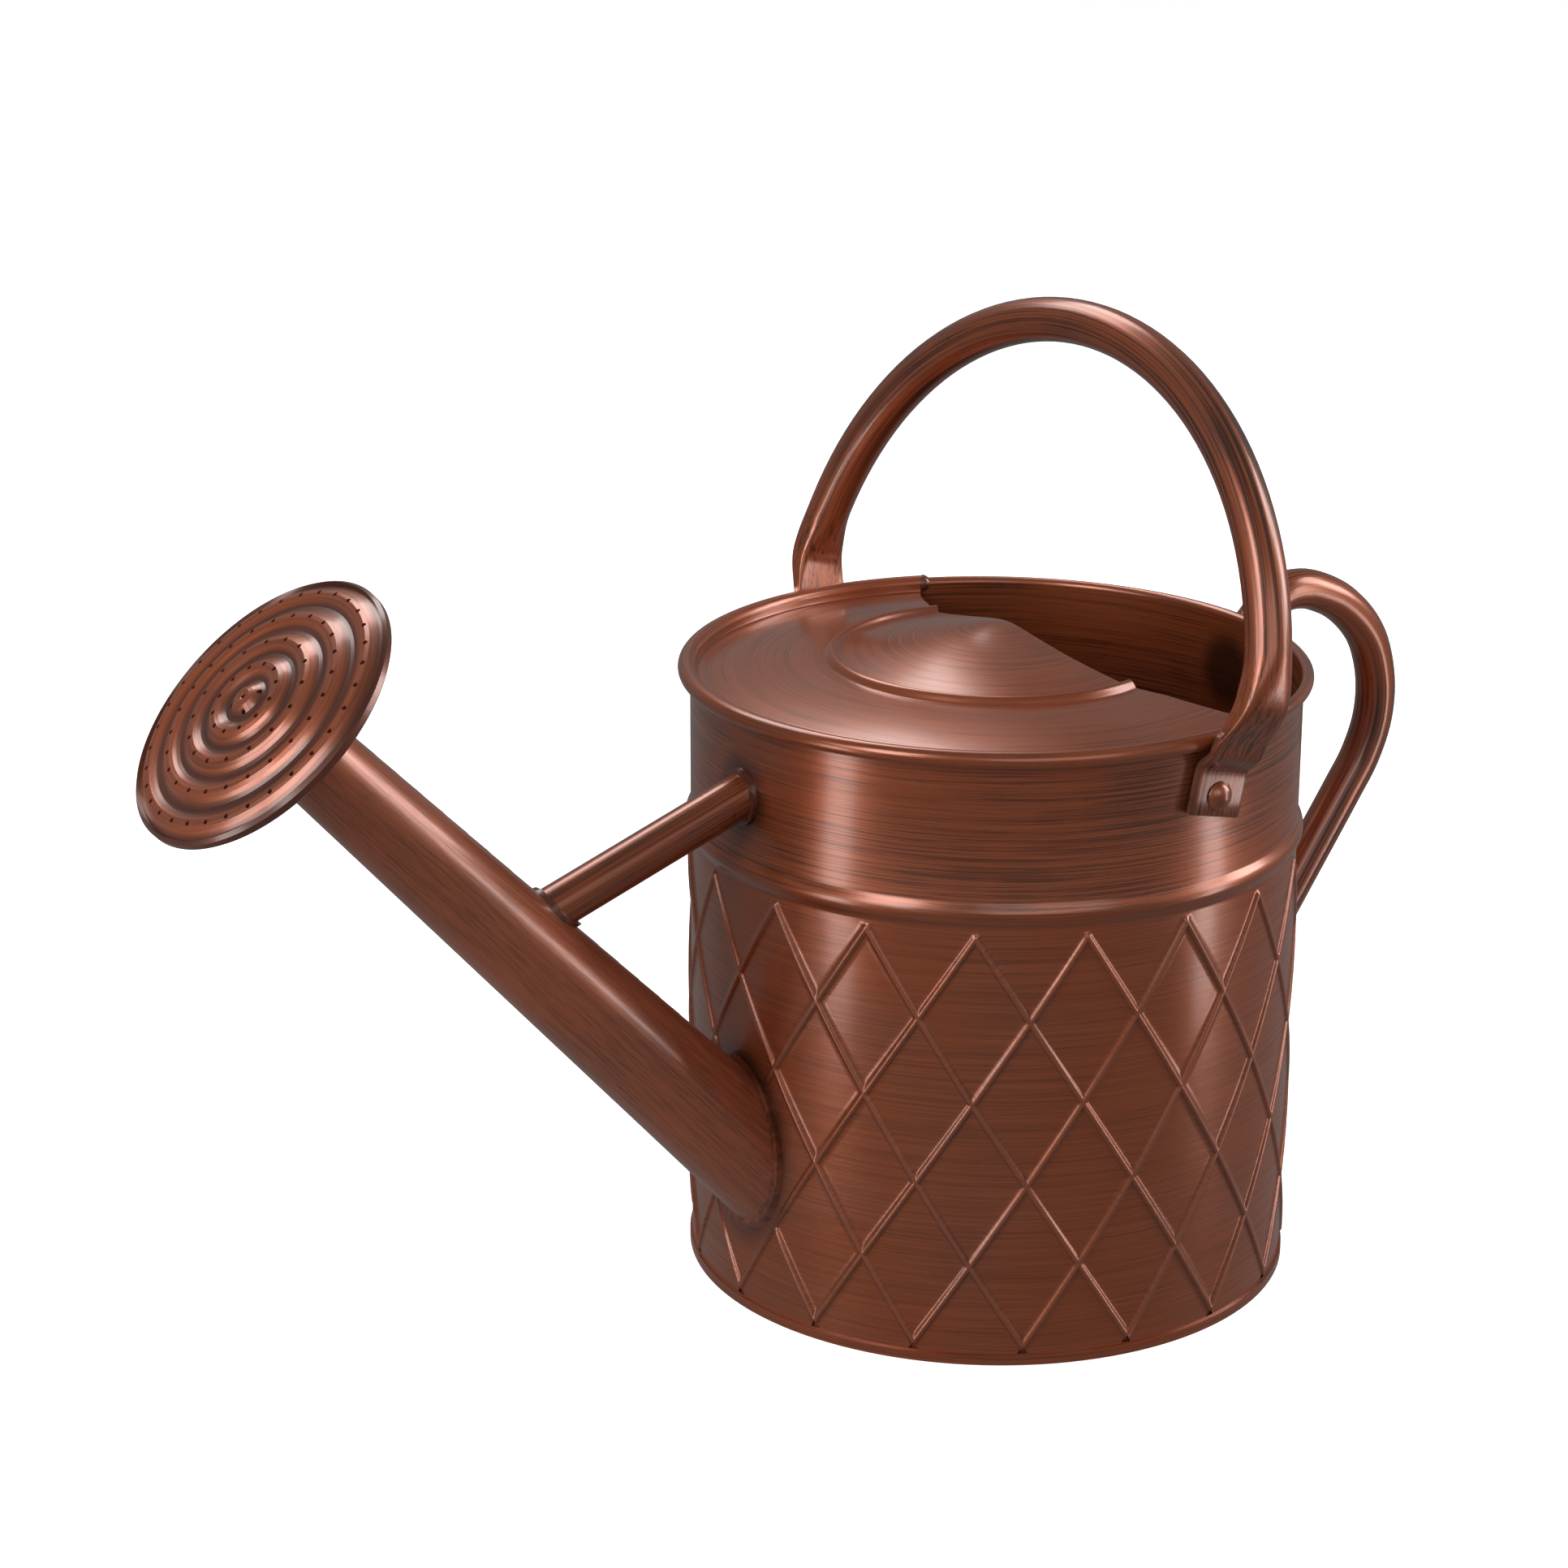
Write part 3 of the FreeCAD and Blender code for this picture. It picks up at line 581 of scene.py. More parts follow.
def spline_points(points: Sequence[Point], count: int) -> List[Vector]:
    """Even points along a smooth curve through the given ones.

    Args:
        points: points to pass through.
        count: number of points wanted.

    Returns:
        Points along a centripetal Catmull-Rom curve.
    """
    knots = [Vector(point) for point in points]
    knots = [2.0 * knots[0] - knots[1]] + knots + [2.0 * knots[-1] - knots[-2]]
    fine: List[Vector] = []
    for i in range(1, len(knots) - 2):
        p0, p1, p2, p3 = knots[i - 1:i + 3]
        t1 = (p1 - p0).length ** 0.5
        t2 = t1 + (p2 - p1).length ** 0.5
        t3 = t2 + (p3 - p2).length ** 0.5
        for j in range(24):
            t = t1 + (t2 - t1) * j / 24.0
            a1 = p0 * ((t1 - t) / t1) + p1 * (t / t1)
            a2 = p1 * ((t2 - t) / (t2 - t1)) + p2 * ((t - t1) / (t2 - t1))
            a3 = p2 * ((t3 - t) / (t3 - t2)) + p3 * ((t - t2) / (t3 - t2))
            b1 = a1 * ((t2 - t) / t2) + a2 * (t / t2)
            b2 = a2 * ((t3 - t) / (t3 - t1)) + a3 * ((t - t1) / (t3 - t1))
            fine.append(b1 * ((t2 - t) / (t2 - t1)) + b2 * ((t - t1) / (t2 - t1)))
    fine.append(knots[-2])
    total = sum((b - a).length for a, b in zip(fine, fine[1:]))
    wanted = [total * k / (count - 1) for k in range(count)]
    even: List[Vector] = []
    travelled = 0.0
    index = 0
    for goal in wanted:
        while index < len(fine) - 2 and travelled + (fine[index + 1] - fine[index]).length < goal:
            travelled += (fine[index + 1] - fine[index]).length
            index += 1
        step = (fine[index + 1] - fine[index]).length
        share = min(max((goal - travelled) / step, 0.0), 1.0) if step else 0.0
        even.append(fine[index].lerp(fine[index + 1], share))
    return even


def smoothstep(low: float, high: float, value: float) -> float:
    """Smooth step from 0 at low to 1 at high."""
    share = min(max((value - low) / (high - low), 0.0), 1.0)
    return share * share * (3.0 - 2.0 * share)


def dress(piece: bpy.types.Object, material: bpy.types.Material) -> None:
    """Give a piece one material."""
    piece.data.materials.clear()
    piece.data.materials.append(material)


# ---------------------------------------------------------------- shell
@dataclass
class Shell:
    """Wall of the can with its embossed lattice, bead and rolled rim."""

    columns: int = 18
    rows: int = 5
    lattice_top: float = 126.6 * MM
    lattice_bottom: float = 5.6 * MM
    ridge_height: float = 0.9 * MM
    ridge_half_width: float = 1.6 * MM
    bead_bottom: float = 129.2 * MM
    bead_height: float = 8.0 * MM
    bead_depth: float = 1.6 * MM
    curl_radius: float = 1.8 * MM
    curl_drop: float = 2.52 * MM
    foot: float = 0.72 * MM
    around: int = 144
    cut_above: float = 2.2 * MM
    cut_below: float = 2.4 * MM
    joint_clear: Tuple[float, float] = (1.0 * MM, 7.0 * MM)
    bead_fullness: float = 1.3
    across_tile: Tuple[float, ...] = (0.3, 0.6, 0.9, 1.2, 1.6, 2.6, 7.0)

    def _tile(self) -> bpy.types.Object:
        """One diamond as a flat grid whose lines close up beside the ridges."""
        half_width = CAN.radius * math.pi / self.columns
        row = (self.lattice_top - self.lattice_bottom) / self.rows
        side = math.hypot(half_width, row)
        between = 2.0 * half_width * row / side
        stops = [0.0] + [value * MM / between for value in self.across_tile] + [0.5]
        stops += [1.0 - value for value in stops[-2::-1]]
        cells = len(stops) - 1
        deselect()
        bpy.ops.mesh.primitive_grid_add(x_subdivisions=cells, y_subdivisions=cells, size=1.0, location=(0.5, 0.5, 0.0))
        tile = bpy.context.active_object
        bpy.ops.object.transform_apply(location=True, rotation=False, scale=False)
        for vertex in tile.data.vertices:
            a = stops[int(round(vertex.co.x * cells))]
            b = stops[int(round(vertex.co.y * cells))]
            vertex.co = Vector(((a - b) * half_width, (a + b - 1.0) * row, 0.0))
        return tile

    def _repeat(self, piece: bpy.types.Object, count: int, step: Point) -> None:
        """Array a piece and apply the array."""
        array = piece.modifiers.new("repeat", "ARRAY")
        array.count = count
        array.use_relative_offset = False
        array.use_constant_offset = True
        array.constant_offset_displace = step
        make_active(piece)
        bpy.ops.object.modifier_apply(modifier=array.name)

    def _flat_lattice(self) -> bpy.types.Object:
        """The tiles side by side, flat: x along the wall and y up it."""
        half_width = CAN.radius * math.pi / self.columns
        row = (self.lattice_top - self.lattice_bottom) / self.rows
        piece = self._tile()
        self._repeat(piece, self.columns, (2.0 * half_width, 0.0, 0.0))
        bpy.ops.object.mode_set(mode="EDIT")
        bpy.ops.mesh.select_all(action="SELECT")
        bpy.ops.mesh.duplicate_move(TRANSFORM_OT_translate={"value": (half_width, row, 0.0)})
        bpy.ops.object.mode_set(mode="OBJECT")
        self._repeat(piece, (self.rows + 3) // 2, (0.0, 2.0 * row, 0.0))
        bpy.ops.object.mode_set(mode="EDIT")
        bpy.ops.mesh.select_all(action="SELECT")
        bpy.ops.transform.translate(value=(0.0, self.lattice_bottom, 0.0))
        bpy.ops.mesh.remove_doubles(threshold=0.02 * MM)
        cuts = ((self.lattice_top + self.cut_above, True), (self.lattice_bottom - self.cut_below, False))
        for level, keep_below in cuts:
            bpy.ops.mesh.select_all(action="SELECT")
            bpy.ops.mesh.bisect(
                plane_co=(0.0, level, 0.0), plane_no=(0.0, 1.0, 0.0),
                clear_outer=keep_below, clear_inner=not keep_below,
            )
        bpy.ops.object.mode_set(mode="OBJECT")
        return piece

    def _relief(self, x: float, y: float) -> float:
        """Share of the full ridge height at a place on the flat lattice.

        Args:
            x: distance along the wall.
            y: height.

        Returns:
            0 between the ridges and 1 on a crest.
        """
        half_width = CAN.radius * math.pi / self.columns
        row = (self.lattice_top - self.lattice_bottom) / self.rows
        side = math.hypot(half_width, row)
        between = 2.0 * half_width * row / side
        u = 0.5 * (x / half_width + (y - self.lattice_bottom) / row + 1.0)
        v = 0.5 * ((y - self.lattice_bottom) / row + 1.0 - x / half_width)
        away = min(abs(value - round(value)) * between for value in (u, v))
        past = max(y - self.lattice_top, self.lattice_bottom - y)
        if past > 0.0:
            odd = 0.0 if y > self.lattice_top else 1.0
            tip = 2.0 * round((u - v - odd) / 2.0) + odd
            away = math.hypot((u - v - tip) * half_width * row / side, past)
        if away >= self.ridge_half_width:
            return 0.0
        return 0.5 + 0.5 * math.cos(math.pi * away / self.ridge_half_width)

    def _clear_of_joints(self, place: Vector) -> float:
        """0 beside the spout's joint, 1 away from it."""
        offset = place - Vector(CAN.spout_root)
        along = offset.dot(CAN.spout_direction)
        away = (offset - CAN.spout_direction * along).length - (CAN.spout_radius - CAN.spout_taper * along)
        return smoothstep(*self.joint_clear, away) if place.x < 0.0 else 1.0

    def _outer_lattice(self) -> bpy.types.Object:
        """The lattice wrapped round the can and raised."""
        piece = self._flat_lattice()
        relief = piece.data.attributes.new(RELIEF_ATTRIBUTE, "FLOAT", "POINT")
        for vertex in piece.data.vertices:
            x, y = vertex.co.x, vertex.co.y
            angle = x / CAN.radius + math.pi / self.columns
            wall = Vector((CAN.radius * math.cos(angle), CAN.radius * math.sin(angle), y))
            share = self._relief(x, y) * self._clear_of_joints(wall)
            relief.data[vertex.index].value = share
            reach = CAN.radius + self.ridge_height * share
            vertex.co = Vector((reach * math.cos(angle), reach * math.sin(angle), y))
        return piece

    def _plain_walls(self) -> bpy.types.Object:
        """Bead, plain band, rolled rim, inside and foot in one outline."""
        inner = CAN.radius - CAN.sheet
        curl_r = inner + self.curl_radius
        curl_z = CAN.height - self.curl_drop
        outline = [(CAN.radius, self.lattice_top + self.cut_above)]
        for i in range(15):
            share = i / 14.0
            bulge = self.bead_depth * math.sin(math.pi * share) ** self.bead_fullness
            outline.append((CAN.radius + bulge, self.bead_bottom + self.bead_height * share))
        outline.append((CAN.radius, curl_z - 12.0 * MM))
        outline.append((CAN.radius, curl_z - self.curl_radius * 0.98))
        for i in range(21):
            angle = math.radians(-62.0 + 242.0 * i / 20.0)
            outline.append((curl_r + self.curl_radius * math.cos(angle), curl_z + self.curl_radius * math.sin(angle)))
        for i in range(13):
            share = 1.0 - i / 12.0
            bulge = self.bead_depth * math.sin(math.pi * share) ** self.bead_fullness
            outline.append((inner + bulge, self.bead_bottom + self.bead_height * share))
        outline.append((inner, self.foot))
        outline.append((CAN.radius, self.foot))
        outline.append((CAN.radius, self.lattice_bottom - self.cut_below))
        return lathe("plain_walls", outline, self.around)

    def build(self, material: bpy.types.Material) -> bpy.types.Object:
        """Join the lattice and the plain walls into the wall of the can.

        Args:
            material: finish of the wall.

        Returns:
            The finished piece, standing for the shell's node.
        """
        lattice = self._outer_lattice()
        walls = self._plain_walls()
        walls.data.attributes.new(RELIEF_ATTRIBUTE, "FLOAT", "POINT")
        make_active(lattice)
        walls.select_set(True)
        bpy.ops.object.join()
        lattice.name = "shell_wall"
        finish_mesh(lattice, 50.0, outwards=False)
        make_active(lattice)
        bpy.ops.object.mode_set(mode="EDIT")
        bpy.ops.mesh.select_all(action="SELECT")
        bpy.ops.mesh.normals_make_consistent(inside=False)
        bpy.ops.object.mode_set(mode="OBJECT")
        dress(lattice, material)
        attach(lattice, "can")
        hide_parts("body_shell")
        return lattice


# ---------------------------------------------------------------- cover
@dataclass
class HalfCover:
    """Pressed cover over the front half, with a raised ring and a shallow cone."""

    sheet: float = 0.7 * MM
    around: int = 160
    cut_radius: float = 130.0 * MM
    cut_offset: float = 4.0 * MM
    curl_radius: float = 88.5 * MM
    curl_height: float = 177.48 * MM
    wrap: float = 2.17 * MM
    wrap_end: float = -42.0
    ring_radius: float = 47.0 * MM
    ring_half_width: float = 2.1 * MM
    ring_foot: float = 180.6 * MM
    ring_rise: float = 1.9 * MM
    apex: float = 189.6 * MM
    cone_shares: Tuple[float, ...] = (0.05, 0.1, 0.16, 0.25, 0.4, 0.6, 0.8, 0.93)
    apex_blunting: float = 0.9 * MM
    blunt_share: float = 0.07
    ring_fall: float = 0.6 * MM
    ring_fullness: float = 1.6
    # outer groove: distance in from the wrap, height
    groove: Tuple[Tuple[float, float], ...] = (
        (28.0, 179.5), (18.0, 178.1), (8.0, 176.6), (4.5, 175.75), (2.4, 175.3), (1.1, 175.25), (0.3, 175.55),
        (0.0, 176.2),
    )

    def _outline(self) -> List[Tuple[float, float]]:
        """Middle line from the apex out to the end of the wrap."""
        inner = self.ring_radius - self.ring_half_width
        line = [(0.0, self.apex)]
        sharp_apex = self.apex + self.apex_blunting
        for share in self.cone_shares:
            blunt = self.apex_blunting * math.exp(-share / self.blunt_share)
            height = sharp_apex - (sharp_apex - self.ring_foot) * share - blunt
            line.append((inner * share, height))
        for i in range(13):
            share = i / 12.0
            r = self.ring_radius + self.ring_half_width * (2.0 * share - 1.0)
            bulge = self.ring_rise * math.sin(math.pi * share) ** self.ring_fullness
            line.append((r, self.ring_foot - self.ring_fall * share + bulge))
        outer = self.curl_radius - self.wrap
        for back, height in self.groove:
            line.append((outer - back * MM, height * MM))
        for i in range(17):
            angle = math.radians(180.0 + (self.wrap_end - 180.0) * i / 16.0)
            line.append((
                self.curl_radius + self.wrap * math.cos(angle), self.curl_height + self.wrap * math.sin(angle)
            ))
        return line

    def build(self, material: bpy.types.Material) -> bpy.types.Object:
        """Spin the cover, give it its thickness and cut its hollow rear edge.

        Args:
            material: finish of the cover.

        Returns:
            The finished piece.
        """
        piece = lathe("half_cover", self._outline(), self.around)
        finish_mesh(piece)
        thick = piece.modifiers.new("sheet", "SOLIDIFY")
        thick.thickness = self.sheet
        thick.offset = 0.0
        make_active(piece)
        bpy.ops.object.modifier_apply(modifier="sheet")
        deselect()
        bpy.ops.mesh.primitive_cylinder_add(
            vertices=360, radius=self.cut_radius, depth=60.0 * MM,
            location=(self.cut_radius + self.cut_offset, 0.0, CAN.height),
        )
        cutter = bpy.context.active_object
        cut = piece.modifiers.new("rear edge", "BOOLEAN")
        cut.operation = "DIFFERENCE"
        cut.solver = "EXACT"
        cut.object = cutter
        make_active(piece)
        bpy.ops.object.modifier_apply(modifier="rear edge")
        bpy.data.objects.remove(cutter)
        finish_mesh(piece, 35.0, outwards=False)
        dress(piece, material)
        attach(piece, "can")
        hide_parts("front_cover")
        return piece


# ---------------------------------------------------------------- bail
@dataclass
class Bail:
    """Swinging tube handle, flattened to straps at both ends."""

    half_span: float = 98.42 * MM
    rise: float = 114.15 * MM
    top_radius: float = 100.5 * MM
    shoulder: float = 27.94 * MM
    tube: float = 6.4 * MM
    strap_half_width: float = 9.2 * MM
    strap_half_thick: float = 1.2 * MM
    strap_y: float = 89.1 * MM
    step_y: float = 93.12 * MM
    strap_bottom: float = -5.8 * MM
    crease: float = 9.9 * MM
    step_start: float = 7.4 * MM
    neck_top: float = 44.0 * MM
    step_lap: float = 2.2 * MM
    end_rounding: float = 0.25 * MM
    around: int = 40

    def _half(self) -> List[Tuple[float, float, float]]:
        """(y, z, roundness) from the strap's end to the top of the arch."""
        drop = self.shoulder - (self.rise - self.top_radius)
        spread = self.top_radius - self.half_span
        bend = (self.top_radius ** 2 - self.half_span ** 2 - drop ** 2) / (2.0 * spread)
        half_turn = math.asin((self.half_span - bend) / (self.top_radius - bend))
        line = [(self.strap_y, self.strap_bottom, 0.0), (self.strap_y, self.strap_bottom + 0.5 * MM, 0.0)]
        line += [(self.strap_y, self.step_start * share, 0.0) for share in (0.0, 0.5, 0.92)]
        neck_start = self.crease + self.step_lap
        for i in range(1, 8):
            share = i / 7.0
            y = self.strap_y + (self.step_y - self.strap_y) * (0.5 * share + 0.5 * smoothstep(0.0, 1.0, share))
            line.append((y, self.step_start + (neck_start - self.step_start) * share, 0.0))
        for i in range(1, 13):
            share = i / 12.0
            y = self.step_y + (self.half_span - self.step_y) * smoothstep(0.0, 1.0, share ** 0.9)
            z = neck_start + (self.shoulder - neck_start) * share
            line.append((y, z, smoothstep(self.crease, self.neck_top, z)))
        for i in range(1, 9):
            angle = (math.pi / 2.0 - half_turn) * i / 8.0
            y = self.half_span - bend + bend * math.cos(angle)
            z = self.shoulder + bend * math.sin(angle)
            line.append((y, z, smoothstep(self.crease, self.neck_top, z)))
        for i in range(1, 29):
            angle = half_turn * (1.0 - i / 28.0)
            y = self.top_radius * math.sin(angle)
            line.append((y, self.rise - self.top_radius + self.top_radius * math.cos(angle), 1.0))
        return line

    def build(self, material: bpy.types.Material) -> bpy.types.Object:
        """Extrude the bail from one strap over to the other.

        Args:
            material: finish of the tube.

        Returns:
            The finished piece.
        """
        half = self._half()
        whole = half + [(-y, z, roundness) for y, z, roundness in half[-2::-1]]
        stations = []
        for i, (y, z, roundness) in enumerate(whole):
            before = whole[max(i - 1, 0)]
            after = whole[min(i + 1, len(whole) - 1)]
            along = Vector((0.0, after[0] - before[0], after[1] - before[1])).normalized()
            side = Vector((1.0, 0.0, 0.0))
            out = side.cross(along).normalized()
            end = self.end_rounding if i in (0, len(whole) - 1) else 0.0
            width = self.strap_half_width + (self.tube - self.strap_half_width) * roundness - end * 2.0
            thick = self.strap_half_thick + (self.tube - self.strap_half_thick) * roundness - end
            stations.append(Station(Vector((0.0, y, z)), side, out, width, thick, (1.0 - roundness) ** 1.5))
        piece = tube_through("bail_loop", stations, self.around, True)
        for vertex in piece.data.vertices:
            vertex.co = CAN.from_pivots(tuple(vertex.co))
        finish_mesh(piece, 50.0)
        dress(piece, material)
        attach(piece, "bail")
        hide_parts("bail_tube")
        return piece


# ---------------------------------------------------------------- rear handle
@dataclass
class RearHandle:
    """Bent tube behind the can."""

    tube: float = 6.1 * MM
    past_rim: float = 98.32 * MM
    start_height: float = 161.0 * MM
    end_height: float = 45.0 * MM
    wall_overrun: float = 3.0 * MM
    root_dip: float = 4.0 * MM
    exit_run: float = 3.2 * MM
    exit_rise: float = 6.0 * MM
    foot_dip: float = 3.0 * MM
    leg_shares: Tuple[float, ...] = (0.36, 0.64, 1.0)
    first_ring_out: float = 7.0 * MM
    last_ring_out: float = 5.5 * MM
    wall_bite: float = 0.3 * MM
    around: int = 32
    loop: Tuple[Tuple[float, float], ...] = (
        (0.0, -4.0), (8.0, 2.0), (16.5, 2.4), (25.5, -0.6), (32.5, -4.6), (40.5, -12.0),
        (45.3, -19.6), (48.6, -32.1), (48.0, -44.0), (43.6, -55.4), (37.2, -64.9),
    )

    def build(self, material: bpy.types.Material) -> bpy.types.Object:
        """Extrude the handle and trim its ends to the wall.

        Args:
            material: finish of the tube.

        Returns:
            The finished piece.
        """
        inside = CAN.radius - CAN.sheet - self.wall_overrun
        points = [
            (inside, 0.0, self.start_height - self.root_dip),
            (CAN.radius + self.exit_run, 0.0, self.start_height + self.exit_rise),
        ]
        for out, above in self.loop:
            points.append((self.past_rim + out * MM, 0.0, CAN.height + above * MM))
        knee = Vector(points[-1])
        end = Vector((inside, 0.0, self.end_height - self.foot_dip))
        for share in self.leg_shares:
            points.append(tuple(knee.lerp(end, share)))
        line = spline_points(points, 110)
        side = Vector((0.0, 1.0, 0.0))
        stations = []
        for i, centre in enumerate(line):
            along = (line[min(i + 1, len(line) - 1)] - line[max(i - 1, 0)]).normalized()
            stations.append(Station(centre, side, along.cross(side).normalized(), self.tube, self.tube))
        first = next(i for i, s in enumerate(stations) if s.centre.x > CAN.radius + self.first_ring_out)
        last = max(i for i, s in enumerate(stations) if s.centre.x > CAN.radius + self.last_ring_out)
        kept = stations[first - 1:last + 2]
        piece = tube_through("handle_loop", kept, self.around, False)
        self._trim(piece, kept)
        finish_mesh(piece, 50.0)
        dress(piece, material)
        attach(piece, "can")
        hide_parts("rear_handle")
        return piece

    def _trim(self, piece: bpy.types.Object, stations: Sequence[Station]) -> None:
        """Slide the end rings along the tube to the wall.

        Args:
            piece: the tube.
            stations: its sections.
        """
        wall = CAN.radius - self.wall_bite
        ends = (
            (stations[0].centre, (stations[0].centre - stations[1].centre).normalized()),
            (stations[-1].centre, (stations[-1].centre - stations[-2].centre).normalized()),
        )
        for centre, into in ends:
            for vertex in piece.data.vertices:
                offset = vertex.co - centre
                if abs(offset.dot(into)) > 0.01 * MM or offset.length > self.tube * 1.05:
                    continue
                target = math.sqrt(wall ** 2 - vertex.co.y ** 2)
                vertex.co += into * ((target - vertex.co.x) / into.x)


# ---------------------------------------------------------------- studio
@dataclass
class Studio:
    """Pale floor, soft lights and the camera."""

    eye: Point = (-656.2 * MM, -858.3 * MM, 500.8 * MM)
    gaze: Point = (0.53310, 0.78477, -0.31614)
    roll: float = math.radians(0.17)
    lens: float = 90.41
    sensor: float = 36.0
    floor_size: float = 24.0
    floor_glow: float = 0.9
    surroundings: float = 0.17
    lights: List[Tuple[str, Point, Point, Tuple[float, float], float]] = field(default_factory=lambda: [
        ("left strip", (-0.66, 0.02, 0.16), (0.0, 0.0, 0.1), (0.12, 0.6), 1.1),
        ("left softbox", (-1.35, -0.35, 0.9), (0.0, 0.0, 0.1), (0.5, 0.9), 9.0),
        ("right strip", (0.5, -0.5, 0.14), (0.0, 0.0, 0.1), (0.12, 0.6), 1.1),
        ("right softbox", (1.25, -0.55, 0.8), (0.0, 0.0, 0.1), (0.5, 1.0), 11.0),
        ("top softbox", (0.1, 0.9, 1.2), (0.0, 0.0, 0.1), (1.0, 0.5), 7.0),
        ("front fill", (-0.5, -1.7, 1.1), (0.0, 0.0, 0.1), (1.6, 0.9), 6.0),
    ])

    def build(self) -> None:
        """Set the stage."""
        self._camera()
        self._floor()
        self._world()
        for name, place, aim, size, watts in self.lights:
            self._light(name, Vector(place), Vector(aim), size, watts)

    def _camera(self) -> None:
        """Place the camera."""
        data = bpy.data.cameras.new("camera")
        data.sensor_width = self.sensor
        data.lens = self.lens
        data.clip_start = 0.01
        camera = bpy.data.objects.new("camera", data)
        bpy.context.scene.collection.objects.link(camera)
        facing = Vector(self.gaze).to_track_quat("-Z", "Y")
        camera.matrix_world = (
            Matrix.Translation(self.eye) @ facing.to_matrix().to_4x4() @ Matrix.Rotation(self.roll, 4, "Z")
        )
        bpy.context.scene.camera = camera

    def _floor(self) -> None:
        """A wide pale floor."""
        deselect()
        bpy.ops.mesh.primitive_plane_add(size=self.floor_size, location=(0.0, 0.0, -0.0002))
        floor = bpy.context.active_object
        floor.name = "floor"
        bpy.ops.object.transform_apply(location=True, rotation=False, scale=False)
        made = bpy.data.materials.new("pale floor")
        bench = Bench(made)
        here = bench.node("ShaderNodeTexCoord").outputs["Object"]
        tone = bench.noise(here, 3.0, 2.0)
        colour = bench.mix(tone, (0.93, 0.93, 0.93), (0.9, 0.9, 0.9))
        shader = bench.node(
            "ShaderNodeBsdfPrincipled", {},
            {"Base Color": colour, "Roughness": 0.8, "Emission Color": colour, "Emission Strength": self.floor_glow},
        )
        bench.node("ShaderNodeOutputMaterial", {}, {"Surface": shader.outputs[0]})
        dress(floor, made)
        floor.visible_diffuse = False
        floor.visible_glossy = False

    def _world(self) -> None:
        """Even pale surroundings."""
        world = bpy.data.worlds.new("studio")
        bpy.context.scene.world = world
        world.use_nodes = True
        back = world.node_tree.nodes["Background"]
        back.inputs[0].default_value = (1.0, 1.0, 1.0, 1.0)
        back.inputs[1].default_value = self.surroundings

    def _light(self, name: str, place: Vector, aim: Vector, size: Tuple[float, float], watts: float) -> None:
        """Add one soft light.

        Args:
            name: its name.
            place: where it stands.
            aim: the point that it faces.
            size: its width and height.
            watts: its power.
        """
        data = bpy.data.lights.new(name, "AREA")
        data.shape = "RECTANGLE"
        data.size, data.size_y = size
        data.energy = watts
        light = bpy.data.objects.new(name, data)
        light.location = place
        light.rotation_euler = (aim - place).to_track_quat("-Z", "Y").to_euler()
        bpy.context.scene.collection.objects.link(light)


# ---------------------------------------------------------------- finishes
SPOUT_JOINT = Joint(-1.0, 50.6 * MM, 16.3 * MM, 23.7 * MM, 1.5, 0.75)
BRACE_JOINT = Joint(-1.0, 154.4 * MM, 6.3 * MM, 6.7 * MM, 2.3, 0.85)
HANDLE_JOINTS = (
    Joint(1.0, 161.0 * MM, 6.1 * MM, 7.0 * MM, 2.2, 0.8),
    Joint(1.0, 45.0 * MM, 6.1 * MM, 8.0 * MM, 2.2, 0.8),
)
WALL_JOINTS = (SPOUT_JOINT, BRACE_JOINT) + HANDLE_JOINTS
# The body's relief paints shade at the ridge feet and a highlight on the ridge crests.
BODY = BrushedCopper("copper body", Grain.AROUND_CAN, relief=True, joints=WALL_JOINTS)
COVER = BrushedCopper("copper cover", Grain.AROUND_CAN, patina=0.45)
RIM = BrushedCopper("copper rim", Grain.AROUND_CAN, patina=0.4)
SPOUT = BrushedCopper(
    "copper spout", Grain.ALONG_SPOUT, light=(0.42, 0.11, 0.045), long=90.0 * MM, patina=0.42, metallic=0.35,
)
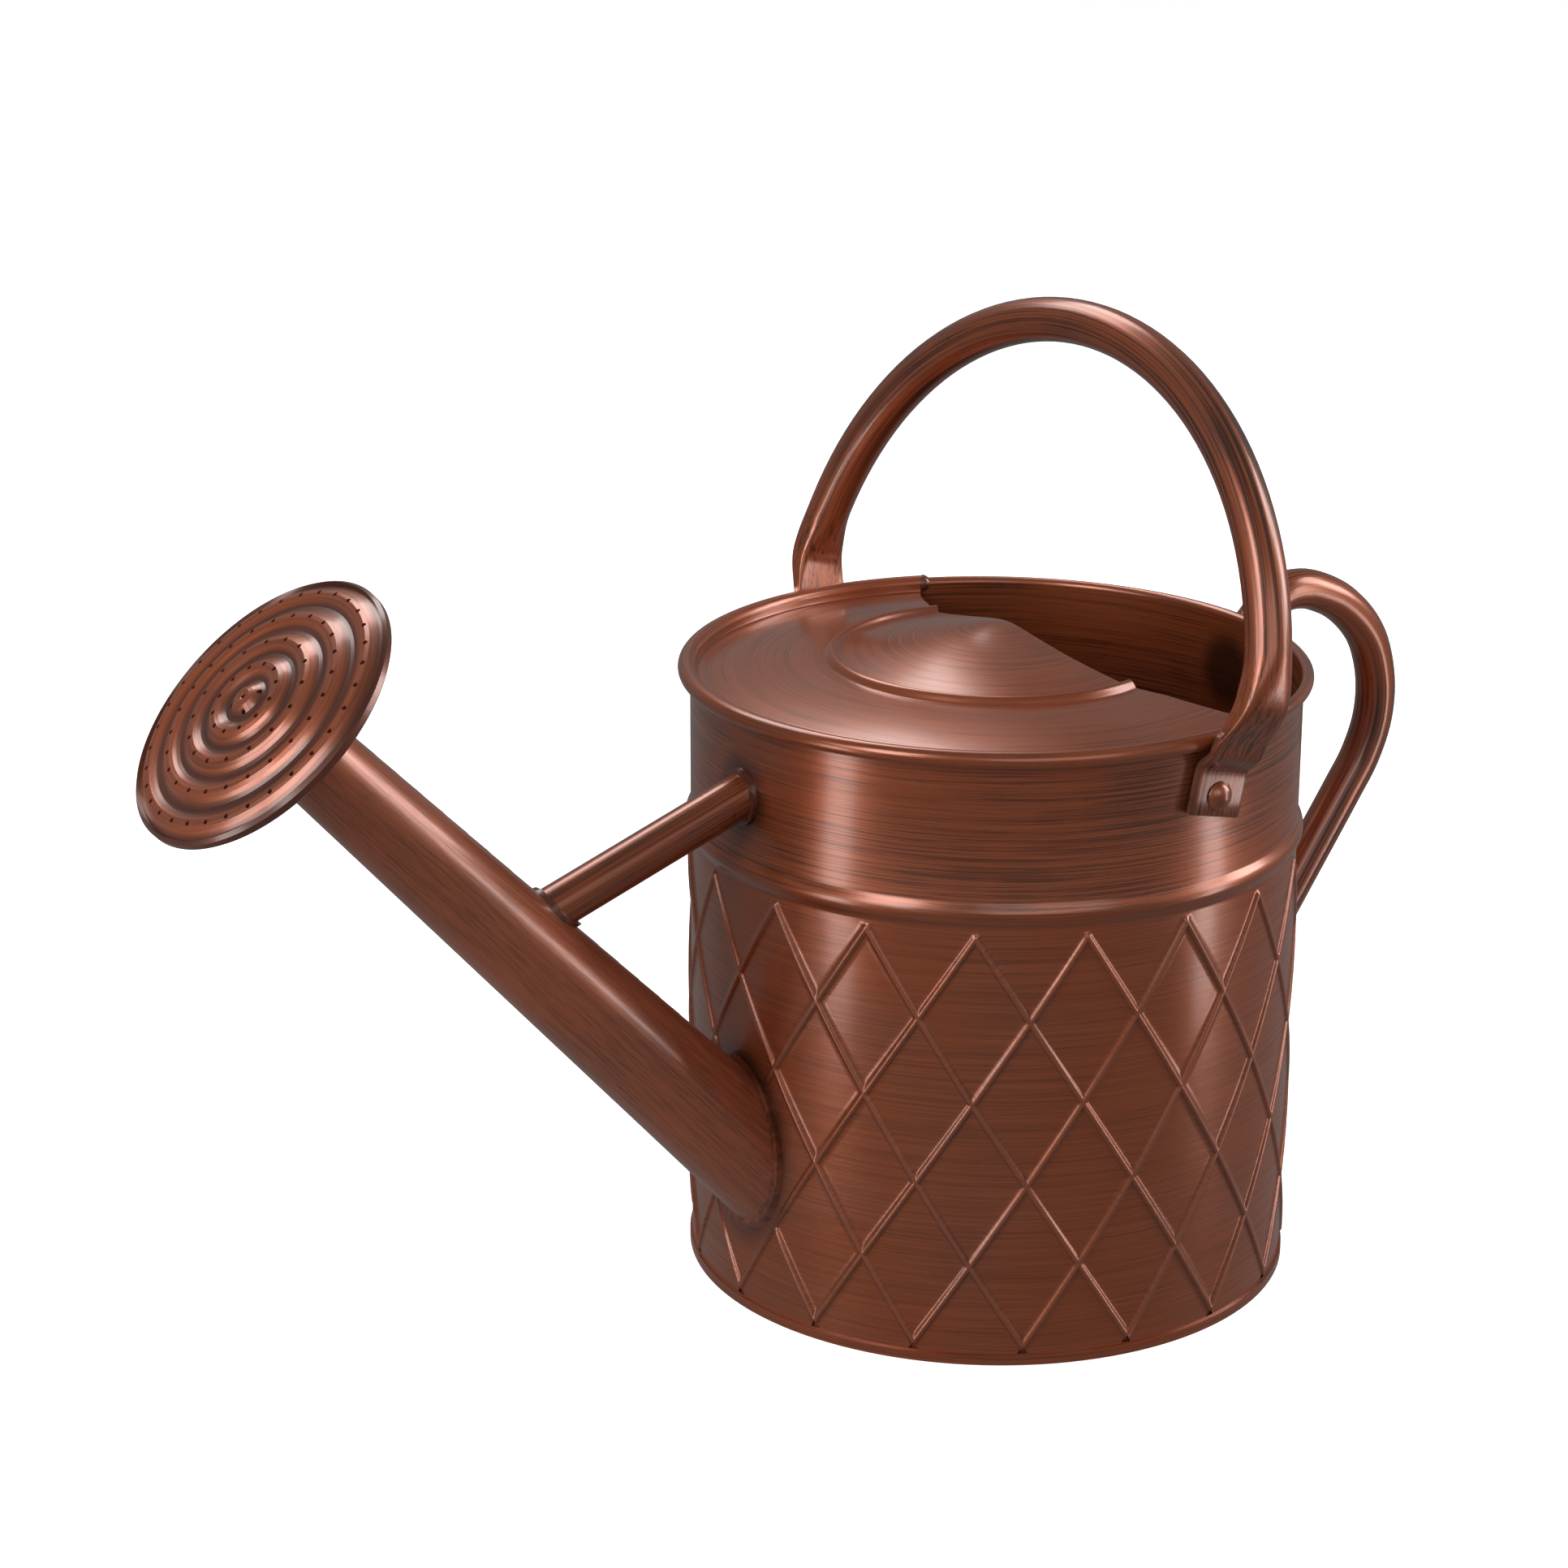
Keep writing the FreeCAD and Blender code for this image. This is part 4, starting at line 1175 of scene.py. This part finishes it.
BRACE = BrushedCopper("copper brace", Grain.ALONG_BRACE, fine=0.38 * MM, long=60.0 * MM, patina=0.9)
TUBE = BrushedCopper("copper tube", Grain.ALONG_RUN, fine=0.38 * MM, long=60.0 * MM, patina=0.9)
# The rose's rings paint shade into its ripple valleys.
ROSE = BrushedCopper("copper rose", Grain.AROUND_ROSE, light=(0.36, 0.078, 0.022), patina=0.5, rings=True)
RIVET = BrushedCopper("copper rivet", Grain.DABBED, patina=0.4)
SOLDER = BrushedCopper("dark solder", Grain.DABBED, light=(0.16, 0.045, 0.022), patina=0.7, roughness=0.45, bump=0.5)
BODY_SOLDER = BrushedCopper("painted solder", Grain.DABBED, light=(0.24, 0.062, 0.024), patina=0.6, bump=0.4)
WIRE = DullSteel("steel wire")

NODE_FINISHES = {
    "rim_wire": WIRE, "base_plate": RIM, "cover_tacks": SOLDER,
    "spout_tube": SPOUT, "spout_solder": BODY_SOLDER, "brace_tube": BRACE,
    "brace_solder_body": SOLDER, "brace_solder_spout": SOLDER,
    "handle_solder_upper": SOLDER, "handle_solder_lower": SOLDER,
    "pivot_rivet_right": RIVET, "pivot_rivet_left": RIVET,
    "pivot_washer_right": RIVET, "pivot_washer_left": RIVET,
    "rose_face": ROSE, "rose_back": ROSE, "rose_neck": SPOUT, "rose_solder": SOLDER,
}


def dress_frame_nodes() -> None:
    """Give every node that stays its finish."""
    made: Dict[str, bpy.types.Material] = {}
    for node, finish in NODE_FINISHES.items():
        if finish.name not in made:
            made[finish.name] = finish.material()
        dress(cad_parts[node], made[finish.name])
        LOG.info("dressed %s in %s", node, finish.name)


def main() -> None:
    """Build every sub-assembly in order and report each piece."""
    logging.basicConfig(level=logging.INFO, format="%(name)s: %(message)s")
    tube = TUBE.material()
    pieces = [
        Shell().build(BODY.material()),
        HalfCover().build(COVER.material()),
        Bail().build(tube),
        RearHandle().build(tube),
    ]
    for piece in pieces:
        LOG.info("built %s with %d faces", piece.name, len(piece.data.polygons))
    dress_frame_nodes()
    Studio().build()
    bpy.context.scene.view_settings.view_transform = "Standard"


if __name__ == "__main__":
    main()
